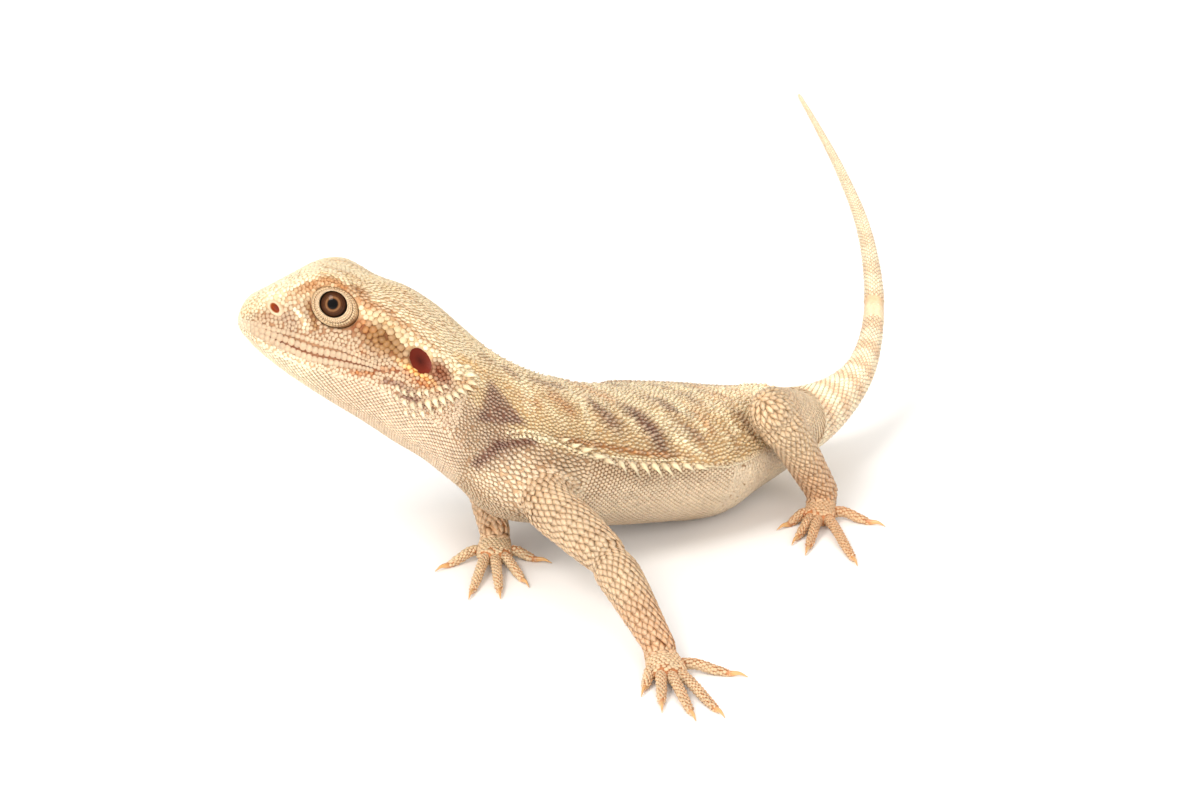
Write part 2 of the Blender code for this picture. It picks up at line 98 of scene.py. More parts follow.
class DragonColours(bpy.types.PropertyGroup):
    """Colours of the hide, its markings, the eye and the claws."""

    crown: colour("Crown", "Top of the head", 247, 230, 198)
    muzzle: colour("Muzzle", "Top of the muzzle", 251, 243, 216)
    cheek: colour("Cheek", "Side of the head", 196, 171, 145)
    temple: colour("Temple", "Tan marks of the face", 186, 128, 74)
    temple_dark: colour("Dark temple", "Brown patch behind the eye", 150, 104, 49)
    rust: colour("Rust", "Orange-brown marks of the face", 184, 114, 54)
    rust_dark: colour("Dark rust", "Brown skin behind the ear", 138, 75, 38)
    amber: colour("Amber", "Yellow-orange skin below the ear", 246, 196, 120)
    throat: colour("Throat", "Beard and throat", 226, 202, 178)
    back: colour("Back", "Ground colour of the back", 222, 195, 153)
    blotch: colour("Blotch", "Grey-brown blotches of the back and neck", 136, 100, 86)
    band: colour("Band", "Cream bands and spines", 250, 238, 206)
    flank: colour("Flank", "Side below the row of spines", 188, 163, 135)
    belly: colour("Belly", "Underside", 227, 206, 180)
    leg: colour("Leg", "Scales of the legs", 224, 193, 158)
    foot: colour("Foot", "Hands and feet", 206, 144, 96)
    gap: colour("Gap", "Skin between the scales of the feet", 204, 137, 92)
    tail: colour("Tail", "Pale rings of the tail", 254, 236, 207)
    tail_band: colour("Tail band", "Tan bands of the tail", 228, 182, 144)
    iris: colour("Iris", "Tan ring round the pupil", 88, 52, 24)
    eardrum: colour("Eardrum", "Round drum of the ear", 108, 36, 22)
    claw: colour("Claw", "Horn of the claws", 222, 178, 122)
    floor: colour("Floor", "Floor and backdrop", 246, 245, 243)


def sizes():
    """The sizes in millimetres, by name."""
    group = bpy.context.scene.dragon_sizes
    return {name: getattr(group, name) / MM for name in DragonSizes.__annotations__}


def colours():
    """The colours as arrays, by name."""
    group = bpy.context.scene.dragon_colours
    return {name: np.array(getattr(group, name)) for name in DragonColours.__annotations__}


# ---- smooth curves ----
def curve_weights(f):
    """Catmull-Rom weights of the four rows round a place that lies the fraction f past the second."""
    return 0.5 * np.stack([f * (-1 + f * (2 - f)), 2 + f * f * (3 * f - 5), f * (1 + f * (4 - 3 * f)),
                           f * f * (f - 1)], -1)


def padded_rows(rows):
    """Rows with one more at each end, carried on in a straight line."""
    rows = np.asarray(rows, float)
    return np.concatenate([[2 * rows[0] - rows[1]], rows, [2 * rows[-1] - rows[-2]]])


def spline(rows, at):
    """Catmull-Rom curve through rows, read at the parameters `at`, where row k has parameter k."""
    rows = np.asarray(rows, float)
    at = np.asarray(at, float)
    k = np.clip(np.floor(at).astype(int), 0, len(rows) - 2)
    near = padded_rows(rows)[k[..., None] + np.arange(4)]
    return np.einsum("...i,...ij->...j", curve_weights(at - k), near.reshape(k.shape + (4, -1)))


def unit(v):
    """Vectors divided by their lengths."""
    return v / np.maximum(np.linalg.norm(v, axis=-1, keepdims=True), 1e-9)


def ease(x, low, high):
    """Smooth step from 0 at low to 1 at high."""
    f = np.clip((x - low) / (high - low), 0.0, 1.0)
    return f * f * (3 - 2 * f)


def window(x, low, full, fade, high):
    """Smooth step that rises from low to full and falls again from fade to high."""
    return ease(x, low, full) * (1 - ease(x, fade, high))


def bell(x, middle, spread):
    """A bump of height 1 at the middle: e to the power of minus the squared distance in spreads."""
    return np.exp(-(((x - middle) / spread) ** 2))


def full_turn(count):
    """Evenly spaced angles of one whole turn, as a row."""
    return np.linspace(0, 2 * math.pi, count, endpoint=False)[None, :]


def along_axes(start, *steps):
    """Points reached from the start by going a distance along each of several axes."""
    for far, axis in steps:
        start = start + np.asarray(far)[..., None] * axis
    return start


def turned_out(vectors, way):
    """Vectors turned round where they point against the way."""
    return np.where(((vectors * way).sum(-1) < 0)[..., None], -vectors, vectors)


# ---- the body's loft, as the solids have it ----
SNOUT = np.array((-21.6, -52.1, 31.2))
HEAD_TURN = (46.0, 16.0, 8.5)  # turned right, nose up, left side up; degrees
EYE = dict(back=11.2, side=4.1, up=5.26, radius=2.7)
EAR = dict(along=8.18, around=1.94, long=1.78, short=1.18, slant=-28.0)
NOSTRIL = (2.95, 2.0, 127.0)  # along, around, slant


def axes(yaw, pitch, roll):
    """Forward, left and up of a part turned right by yaw, nose up by pitch and left side up by roll."""
    yaw, pitch, roll = (math.radians(v) for v in (yaw, pitch, roll))
    level = np.array((-math.sin(yaw), -math.cos(yaw), 0.0))
    left = np.array((math.cos(yaw), -math.sin(yaw), 0.0))
    forward = math.cos(pitch) * level + np.array((0, 0, math.sin(pitch)))
    up = np.cross(forward, left)
    return forward, math.cos(roll) * left + math.sin(roll) * up, math.cos(roll) * up - math.sin(roll) * left


FORWARD, LEFT, UP = axes(*HEAD_TURN)


def in_head(back, side, up):
    """Place of a point given in the head's own axes, measured from the snout tip."""
    return SNOUT - back * FORWARD + side * LEFT + up * UP


def loop(place, turn, crown, brow, side, lip, jaw, chin):
    """The ten corners of one station: crown, the left rails, chin and the right rails."""
    _, left, up = axes(*turn)
    half = [(0.0, crown), brow, side, lip, jaw, (0.0, chin)]
    mirrored = [(-x, z) for x, z in reversed(half[1:5])]
    return [np.asarray(place, float) + x * left + z * up for x, z in half + mirrored]


def head_loop(back, *rails):
    """A station of the head, `back` mm behind the snout tip."""
    return loop(SNOUT - back * FORWARD, HEAD_TURN, *rails)


def oval(place, turn, half_width, top, row, bottom, back=0.66, belly=0.59):
    """A trunk or tail station: widest at the row of flank spines, `row` above the station's place."""
    brow = (back * half_width, row + 0.74 * (top - row))
    jaw = (belly * half_width, row + 0.81 * (bottom - row))
    side = (half_width, row + 0.06 * (top - row))
    lip = (0.95 * half_width, row + 0.38 * (bottom - row))
    return loop(place, turn, top, brow, side, lip, jaw, bottom)


TAIL_PATH = (
    (-2.0, 27.9, 8.2), (-5.6, 34.9, 9.6), (-11.7, 42.5, 12.1), (-19.7, 49.9, 15.4),
    (-29.6, 57.3, 18.7), (-41.2, 64.3, 21.9), (-53.0, 70.9, 24.5), (-64.0, 77.2, 26.2),
)
TAIL_HALF = (2.75, 1.95, 1.48, 1.2, 0.96, 0.72, 0.5, 0.3)


def tail_loops():
    """Ovals along the tail's path, each square to the line between its two neighbours."""
    path = np.array(((0.0, 20.5, 7.9),) + TAIL_PATH)
    loops = []
    for k, half in enumerate(TAIL_HALF, start=1):
        ahead = path[k - 1] - path[min(k + 1, len(path) - 1)]
        yaw = math.degrees(math.atan2(-ahead[0], -ahead[1]))
        pitch = math.degrees(math.asin(ahead[2] / np.linalg.norm(ahead)))
        loops.append(oval(path[k], (yaw, pitch, 0), half, 0.95 * half, 0.0, -0.95 * half, 0.68, 0.62))
    return loops


def body_stations():
    """Every station from snout to tail tip; a station's index is its parameter along the body."""
    head = [
        head_loop(0.0, 0.0, (0.0, 0.0), (0.0, 0.0), (0.0, 0.0), (0.0, 0.0), 0.0),
        head_loop(0.6, 2.2, (1.7, 1.8), (2.4, 0.5), (2.3, -0.6), (1.5, -1.4), -1.7),
        head_loop(2.5, 4.1, (2.8, 3.6), (3.9, 1.7), (4.1, -0.8), (2.9, -2.4), -2.8),
        head_loop(4.5, 6.1, (3.6, 5.4), (4.5, 2.8), (5.0, -0.9), (3.9, -3.1), -3.7),
        head_loop(7.0, 8.2, (5.0, 7.7), (5.2, 4.2), (6.0, -1.0), (4.9, -3.8), -4.6),
        head_loop(10.0, 9.1, (6.0, 8.6), (6.3, 5.2), (7.1, -0.9), (6.0, -4.4), -5.6),
        head_loop(14.0, 8.7, (6.2, 7.7), (7.5, 4.8), (8.6, -0.2), (7.3, -4.9), -6.8),
        head_loop(18.0, 8.6, (6.5, 7.3), (8.8, 4.4), (9.8, 0.2), (8.4, -5.3), -7.9),
        head_loop(22.0, 7.4, (7.0, 6.1), (9.5, 3.1), (10.3, -0.2), (9.0, -6.2), -9.1),
        head_loop(26.0, 5.4, (7.0, 4.4), (9.3, 1.9), (9.7, -1.6), (8.2, -7.4), -10.2),
    ]
    neck = [
        oval((-0.6, -31.3, 22.3), (35, 20, 5), 7.9, 4.3, -1.0, -12.0, 0.62, 0.74),
        oval((0.3, -27.3, 18.8), (18, 22, 2), 9.2, 5.2, -1.2, -12.6, 0.62, 0.74),
    ]
    trunk = [
        oval((0.0, -22.3, 15.8), (5, 16, 0), 10.6, 5.8, -0.6, -11.8),
        oval((0.0, -15.5, 13.2), (0, 10, 0), 11.8, 5.9, -0.6, -11.0),
        oval((0.0, -8.0, 11.3), (0, 7, 0), 12.5, 5.9, -0.3, -10.6),
        oval((0.0, -0.5, 10.0), (0, 5, 0), 11.8, 5.5, 0.0, -10.7),
        oval((0.0, 6.8, 9.2), (0, 4, 0), 8.2, 4.4, 0.0, -9.2),
        oval((0.0, 13.8, 8.5), (0, 3, 0), 6.9, 3.5, 0.0, -6.4),
        oval((0.0, 20.5, 7.9), (2, 0, 0), 4.9, 3.0, 0.0, -4.2),
    ]
    return np.array(head + neck + trunk + tail_loops())


BODY = padded_rows(body_stations())
LAST = len(BODY) - 3.0
# rises and hollows: along the body, round it, reach in each, height along the surface's normal
FORMS = (
    (4.9, 1.30, 0.9, 0.35, 0.45),  # brow ridge
    (4.0, 1.90, 0.7, 0.40, -0.30),  # hollow before the eye
    (7.0, 2.45, 1.2, 0.60, 0.35),  # jaw muscle
    (9.2, 2.80, 0.7, 0.80, 0.50),  # rear corner of the jaw
    (10.5, 2.60, 0.6, 0.90, -0.55),  # side of the neck
    (12.1, 2.90, 0.7, 0.90, 0.50),  # shoulder
    (9.45, 2.90, 0.28, 0.95, 0.30),  # the beard's rear edge stands over the neck
    (9.95, 2.70, 0.22, 0.95, -0.35),
)
# folds of loose skin: from (along, round) to (along, round), half-width in mm, depth in mm
FOLDS = (
    (10.80, 2.10, 10.35, 2.80, 0.75, 0.75),  # crease before the shoulder
    (10.35, 2.80, 10.00, 3.60, 0.85, 0.55),
    (10.95, 1.95, 10.40, 2.20, 0.80, -0.45),  # the ridge above it
    (11.25, 2.45, 11.20, 3.10, 0.60, 0.40),  # armpit
    (6.30, 3.16, 7.00, 3.04, 0.35, 0.25),  # below the mouth's corner
)
ALONG_MM, ROUND_MM = 5.0, 4.4  # rough size of one parameter step, to measure folds and marks in mm


def near_line(a, v, ends, half):
    """1 on a straight line over the unrolled surface, fading over `half` mm to each side.

    The ends are (along, round, along, round). The value is e to the power of minus the squared distance from
    the line in half-widths.
    """
    p = np.stack([a * ALONG_MM, v * ROUND_MM], -1)
    start = np.array((ends[0] * ALONG_MM, ends[1] * ROUND_MM))
    span = np.array((ends[2] * ALONG_MM, ends[3] * ROUND_MM)) - start
    f = np.clip((p - start) @ span / (span @ span), 0, 1)
    return np.exp(-((np.linalg.norm(p - start - f[..., None] * span, axis=-1) / half) ** 2))


def body_place(a, r):
    """Points of the loft at pairs of parameters: a weighted mean of 4 stations by 4 rails."""
    k = np.clip(np.floor(a).astype(int), 0, int(LAST) - 1)
    m = np.floor(r).astype(int)
    stations = k[..., None, None] + np.arange(4)[:, None]
    corners = BODY[stations, (m[..., None, None] + np.arange(-1, 3)) % 10]
    return np.einsum("...i,...j,...ijk->...k", curve_weights(a - k), curve_weights(r - m), corners)


def side_of(r):
    """How far round from the crown, 0 to 5, whichever side it is on."""
    r = np.mod(r, 10.0)
    return np.minimum(r, 10.0 - r)


def on_side(v, side):
    """The place v round from the crown, on the left for side 1 and on the right for side -1."""
    return v if side > 0 else 10 - v


def body_at(a, r, grow=0.0):
    """Points on the body, moved out along its normal by grow and the sum of all rises, hollows and folds."""
    a, r = np.broadcast_arrays(np.asarray(a, float), np.asarray(r, float))
    step = 0.02
    tangent = body_place(a + step, r) - body_place(a - step, r)
    across = body_place(a, r + step) - body_place(a, r - step)
    normal = unit(np.cross(across, tangent))
    v = side_of(r)
    rise = np.full(a.shape, float(grow))
    for at, side, reach, spread, height in FORMS:
        rise += height * np.exp(-(((a - at) / reach) ** 2) - ((v - side) / spread) ** 2)
    for *ends, half, depth in FOLDS:
        rise -= depth * near_line(a, v, ends, half)
    return body_place(a, r) + rise[..., None] * normal


# ---- legs, as the solids have them ----
LEGS = {
    "fore_left": dict(
        joints=((5.5, -26.5, 11.6), (9.6, -30.8, 11.2), (20.6, -31.5, 8.4), (34.4, -34.9, 2.4)),
        wide=(3.4, 3.1, 2.55, 1.9), tall=(3.6, 3.2, 2.55, 1.6), middle=2.5,
        palm=4.0, palm_half=2.2, heading=-26, thumb=-1,
        toes=((26, 3.6), (14, 6.8), (0, 9.6), (-12, 9.8), (-62, 5.8))),
    "fore_right": dict(
        joints=((-5.0, -24.5, 12.8), (-8.8, -25.1, 12.4), (-16.8, -21.1, 8.4), (-4.2, -27.8, 2.4)),
        wide=(3.8, 3.4, 2.4, 1.9), tall=(4.2, 3.6, 2.5, 1.6), middle=2.3,
        palm=4.0, palm_half=2.2, heading=-40, thumb=1,
        toes=((70, 3.4), (23, 6.8), (5, 9.6), (-9, 9.8), (-46, 5.2))),
    "hind_left": dict(
        joints=((3.5, 14.0, 9.0), (6.0, 11.5, 10.0), (13.0, 1.3, 16.0), (12.2, 10.8, 3.0)),
        wide=(4.2, 4.2, 2.8, 2.2), tall=(4.4, 4.2, 2.9, 2.0), middle=2.6,
        palm=3.9, palm_half=2.0, heading=-46, thumb=-1,
        toes=((40, 3.4), (16, 6.0), (6, 8.8), (-18, 12.2), (-70, 4.8))),
    "hind_right": dict(
        joints=((-3.5, 14.0, 8.0), (-6.0, 11.5, 8.0), (-15.8, 0.4, 9.3), (-20.8, 14.4, 3.0)),
        wide=(4.0, 3.8, 2.8, 2.0), tall=(4.0, 3.6, 2.8, 1.9), middle=2.6,
        palm=3.9, palm_half=2.0, heading=-138, thumb=1,
        toes=((44, 3.8), (20, 6.2), (6, 8.8), (-13, 12.2), (-52, 5.8))),
}
PART_NAMES = {"fore": ("upper_arm", "forearm", "hand"), "hind": ("thigh", "shank", "foot")}
TOE_HALF = 0.58  # slimmer than the solid toes
CLAW_LENGTH, CLAW_HALF, CLAW_GAP = 2.0, 0.42, 0.33


class Tube:
    """An oval tube along a smooth path, with its half-sizes keyed at the path's points."""

    def __init__(self, path, wide, tall, across=None):
        self.path = np.asarray(path, float)
        self.half = np.stack([wide, tall], -1)
        self.across = across
        self.last = len(self.path) - 1.0

    def at(self, s, turn, grow=0.0):
        """Points at the place s along the path, turned round it by `turn` radians from its level axis.

        Past both ends of the path s runs on over a round dome, whose pole is one unit further.
        """
        s, turn = np.broadcast_arrays(np.asarray(s, float), np.asarray(turn, float))
        on_path = np.clip(s, 0, self.last)
        lean = 0.5 * math.pi * np.abs(s - on_path)
        tangent = unit(spline(self.path, on_path + 0.01) - spline(self.path, on_path - 0.01))
        half = spline(self.half, on_path) + grow
        level = np.cross((0.0, 0.0, 1.0), tangent) if self.across is None else self.across + 0 * tangent
        level = unit(level - (level * tangent).sum(-1, keepdims=True) * tangent)
        rise = np.cross(tangent, level)
        beyond = np.sign(s - on_path) * np.sin(lean) * half.mean(-1)
        return (spline(self.path, on_path) + beyond[..., None] * tangent
                + (np.cos(lean) * np.cos(turn) * half[..., 0])[..., None] * level
                + (np.cos(lean) * np.sin(turn) * half[..., 1])[..., None] * rise)

    def grid(self, rows, sides, grow=0.0):
        """A closed grid of rings over the tube and the domes at both its ends."""
        domes = np.array((0.25, 0.5, 0.8, 1.0))
        s = np.concatenate([-domes[::-1], np.linspace(0, self.last, rows), self.last + domes])
        return self.at(s[:, None], full_turn(sides), grow)


def floor_direction(degrees):
    """A level direction, turned from +X towards +Y by an angle in degrees."""
    return np.array((math.cos(math.radians(degrees)), math.sin(math.radians(degrees)), 0.0))


def leg_tubes(leg):
    """The tubes of one leg by part: upper, lower, palm and the five toes, with each toe's direction."""
    root, hip, bend, ankle = (np.array(p) for p in leg["joints"])
    wide, tall = leg["wide"], leg["tall"]
    middle = [0.5 * (half[1] + half[2]) + 0.1 for half in (wide, tall)]
    upper = Tube([root, hip, 0.5 * (hip + bend), bend], (*wide[:2], middle[0], wide[2]),
                 (*tall[:2], middle[1], tall[2]))
    start = bend + 0.04 * (ankle - bend)
    bulge = bend + 0.42 * (ankle - bend) + np.array((0, 0, 0.5))
    lower = Tube([start, bend + 0.2 * (ankle - bend) + np.array((0, 0, 0.3)), bulge, ankle],
                 (0.78 * wide[2], wide[2], leg["middle"], wide[3]),
                 (0.78 * tall[2], tall[2], leg["middle"], tall[3]))
    heading = floor_direction(leg["heading"])
    across = np.cross((0.0, 0.0, 1.0), heading)
    knuckles = ankle + leg["palm"] * heading
    knuckles[2] = 0.95
    heel = ankle - 0.6 * heading
    heel[2] = 1.4
    palm = Tube([heel, 0.5 * (heel + knuckles), knuckles],
                (0.85 * wide[3], 0.96 * leg["palm_half"], leg["palm_half"]), (1.5, 1.4, 1.1), across)
    toes = []
    for number, (turn, reach) in enumerate(leg["toes"], start=1):
        direction = floor_direction(leg["heading"] + leg["thumb"] * turn)
        spread = (3 - number) / 2 * 0.70 * leg["palm_half"] * leg["thumb"]
        set_back = {1: 1.6, 5: 2.3}.get(number, 0.6)
        first = knuckles - set_back * heading + spread * across
        path = np.array([first + share * reach * direction for share in (0, 0.35, 0.72, 1)])
        path[:, 2] = (0.78, 1.08, 0.64, 0.34)
        half = TOE_HALF * np.array((1.15, 1.02, 0.92, 0.68))
        toes.append((Tube(path, half, half), direction))
    return upper, lower, palm, toes


LEG_TUBES = {name: leg_tubes(leg) for name, leg in LEGS.items()}


# ---- markings ----
def ripple(a, r, seed, scale=1.0):
    """Smooth noise between about -1 and 1: the sum of seven sine waves in random directions."""
    random = np.random.default_rng(seed)
    total = np.zeros(np.broadcast(a, r).shape)
    for _ in range(7):
        along, around = random.normal(0, 2.2 * scale, 2)
        total += np.sin(along * a + around * r + random.uniform(0, 6.28))
    return total / 3.0


def mix(under, over, share):
    """Colours moved from one towards another by a share from 0 to 1."""
    return under + np.asarray(share)[..., None] * (over - under)


# soft spots of the head and neck: along, round, reach, spread, slope, sharpness, colour, strength
FACE_MARKS = (
    (4.00, 1.62, 0.95, 0.20, -0.10, 1.5, "temple", 0.55),  # tan streak from nostril to eye
    (5.20, 1.16, 0.75, 0.17, -0.06, 2.0, "temple", 0.85),  # under the brow: tan, and partly painted shadow of the brow
    (4.40, 1.47, 0.60, 0.17, -0.20, 1.5, "temple", 0.75),
    (5.90, 0.90, 0.32, 0.20, 0.15, 1.5, "temple", 0.75),  # spot behind the brow
    (6.15, 1.32, 0.42, 0.19, 0.00, 1.5, "rust", 0.60),
    (6.95, 1.24, 0.85, 0.08, -0.02, 1.5, "rust", 0.38),
    (7.00, 1.64, 1.05, 0.22, 0.03, 2.0, "back", 0.80),  # band behind the eye
    (7.10, 1.32, 1.10, 0.20, -0.03, 2.0, "temple", 0.30),
    (6.90, 2.13, 0.95, 0.34, 0.00, 2.5, "temple_dark", 0.95),  # brown temple
    (6.30, 2.02, 0.35, 0.16, 0.10, 1.5, "rust", 0.45),
    (2.60, 2.25, 0.80, 0.16, 0.00, 1.5, "rust", 0.16),
    (1.30, 1.60, 1.10, 0.60, 0.00, 1.5, "back", 0.50),
    (3.60, 2.32, 0.70, 0.10, 0.10, 1.5, "blotch", 0.25),
    (8.20, 2.44, 0.68, 0.13, 0.02, 2.0, "amber", 0.90),  # below the ear
    (8.50, 2.68, 0.62, 0.09, -0.12, 1.5, "rust", 0.85),
    (8.05, 1.55, 0.45, 0.12, 0.00, 1.5, "muzzle", 0.65),
    (8.86, 1.98, 0.34, 0.42, 0.20, 2.0, "rust_dark", 0.98),  # behind the ear
    (9.30, 1.00, 0.30, 0.17, 0.00, 1.5, "amber", 0.60),
    (9.40, 1.72, 0.20, 0.26, -0.60, 1.5, "rust", 0.50),
    (9.45, 1.35, 0.35, 0.16, 0.00, 1.5, "band", 0.80),
    (8.30, 3.20, 0.75, 0.06, -0.10, 1.5, "blotch", 0.95),  # dark line under the beard's spines, painted shadow of the spines
    (9.25, 2.80, 0.40, 0.70, 0.00, 1.5, "throat", 0.55),
    (10.30, 2.75, 0.34, 0.50, 0.00, 1.5, "blotch", 0.45),
    (10.85, 1.95, 0.30, 0.10, -0.20, 1.5, "band", 0.90),
    (11.15, 3.00, 0.30, 0.50, 0.00, 1.5, "rust", 0.16),
)
# streaks: from (along, round) to (along, round), half-width in mm, colour, strength
STREAKS = (
    # before the eye, and on the brow
    (3.80, 2.10, 4.60, 2.52, 0.30, "muzzle", 0.90), (4.30, 1.99, 4.95, 2.46, 0.36, "temple_dark", 0.95),
    (3.41, 1.57, 4.28, 1.36, 0.30, "temple", 0.70), (4.28, 1.36, 5.35, 1.20, 0.30, "temple", 0.75),
    (5.60, 0.90, 5.90, 0.97, 0.40, "temple_dark", 0.60), (6.00, 1.14, 6.95, 1.11, 0.30, "temple", 0.85),
    (5.97, 2.25, 6.20, 1.92, 0.35, "rust", 0.55), (6.45, 2.62, 6.75, 2.66, 0.40, "temple", 0.40),
    # from mouth to ear, and on the head's top; the blotch streak from (7.40, 3.17) is painted shadow under the
    # beard's spines
    (7.05, 2.94, 7.88, 2.65, 0.20, "rust", 0.75), (7.88, 2.65, 8.82, 2.42, 0.22, "rust", 0.70),
    (8.30, 2.78, 9.00, 2.50, 0.30, "rust", 0.50), (7.40, 3.17, 8.40, 3.06, 0.24, "blotch", 0.85),
    (6.39, 3.13, 6.81, 3.05, 0.16, "rust", 0.75), (1.90, 0.90, 3.60, 0.70, 0.50, "band", 0.25),
    (6.60, 0.75, 8.20, 0.72, 0.28, "temple", 0.45), (7.10, 1.34, 8.60, 1.20, 0.28, "temple", 0.60),
    (4.50, 0.35, 5.80, 0.45, 0.45, "temple", 0.35), (6.90, 0.25, 8.80, 0.30, 0.30, "temple", 0.35),
    # on the back
    (11.19, 0.82, 11.51, 1.08, 0.80, "rust", 0.55), (10.57, 1.19, 10.84, 1.17, 0.60, "rust", 0.36),
    (12.38, 0.14, 12.71, 0.41, 0.80, "rust", 0.45), (12.17, 0.77, 12.34, 1.22, 0.95, "blotch", 0.78),
    (12.96, 0.80, 13.10, 1.20, 1.10, "blotch", 0.88), (13.08, 1.25, 13.14, 1.62, 1.00, "blotch", 0.80),
    (13.66, 0.31, 13.84, 0.49, 0.70, "blotch", 0.50), (13.80, 0.66, 14.08, 0.87, 0.62, "blotch", 0.72),
    (13.56, 1.07, 13.90, 1.38, 0.62, "blotch", 0.68), (15.11, 0.06, 14.92, 0.32, 0.70, "blotch", 0.36),
    (15.34, 0.24, 15.70, 0.50, 0.80, "rust", 0.40), (14.35, 0.88, 14.29, 1.27, 0.60, "rust", 0.34),
    (14.55, 0.20, 14.60, 0.55, 0.70, "blotch", 0.40), (15.25, 0.90, 15.30, 1.50, 0.80, "blotch", 0.40),
    (10.78, 0.44, 11.72, 0.35, 0.62, "blotch", 0.58), (10.13, 0.44, 10.42, 0.59, 0.60, "blotch", 0.62),
    (9.55, 0.45, 9.80, 0.50, 0.60, "blotch", 0.40), (16.15, 0.30, 16.10, 0.90, 0.70, "rust", 0.36),
    (14.62, 1.35, 14.70, 1.75, 0.45, "blotch", 0.30), (13.95, 1.55, 14.10, 1.80, 0.45, "blotch", 0.30),
    (10.49, 0.48, 10.66, 1.40, 0.50, "band", 0.55), (11.72, 0.42, 11.91, 0.78, 0.45, "band", 0.70),
    (13.10, 0.10, 13.11, 0.53, 0.50, "band", 0.75), (12.64, 0.92, 12.79, 1.22, 0.45, "band", 0.70),
    (14.17, 0.05, 14.03, 0.71, 0.48, "band", 0.80), (14.03, 0.71, 14.12, 1.20, 0.42, "band", 0.75),
    (15.02, 0.02, 14.82, 0.81, 0.46, "band", 0.80), (14.82, 0.81, 14.84, 1.40, 0.42, "band", 0.70),
    (13.34, 0.93, 13.58, 1.50, 0.40, "band", 0.70), (13.58, 1.50, 13.83, 1.79, 0.40, "band", 0.65),
    (13.23, 0.57, 13.51, 0.98, 0.40, "band", 0.75), (13.51, 0.98, 13.73, 1.34, 0.36, "band", 0.65),
    (10.93, 1.09, 11.29, 1.44, 0.40, "band", 0.45), (11.87, 0.84, 11.86, 1.32, 0.42, "band", 0.55),
    (10.21, 0.82, 10.69, 1.05, 0.40, "band", 0.55), (14.45, 1.10, 14.50, 1.60, 0.34, "band", 0.55),
    (15.72, 0.05, 15.60, 1.20, 0.50, "band", 0.70), (16.45, 0.05, 16.35, 1.10, 0.50, "band", 0.65),
    (12.36, 0.60, 12.45, 0.85, 0.40, "band", 0.50),
)
MOUTH_ROUND = ((0, 2.95), (1.0, 2.93), (2, 2.90), (4, 2.92), (5.2, 2.96), (6.5, 2.94), (7.1, 2.93),
               (7.9, 2.68), (8.8, 2.42))
# lines of the shoulder's crease, darkened there as painted shade, and the beard's lower edge
CREASE_SHADE_LINES = ((10.76, 2.12, 10.32, 2.72), (10.32, 2.72, 10.05, 3.45))
BEARD_LINE = (6.35, 3.17, 7.0, 3.05)
RING_START, RING_STEP = 16.95, 0.59  # the tail's rings, along the body
MOUTH_LINE = 0.16  # half-width of the dark line between the lips, in mm


def mouth_round(a):
    """How far round the mouth line runs at each place along the head."""
    return np.interp(a, *zip(*MOUTH_ROUND))


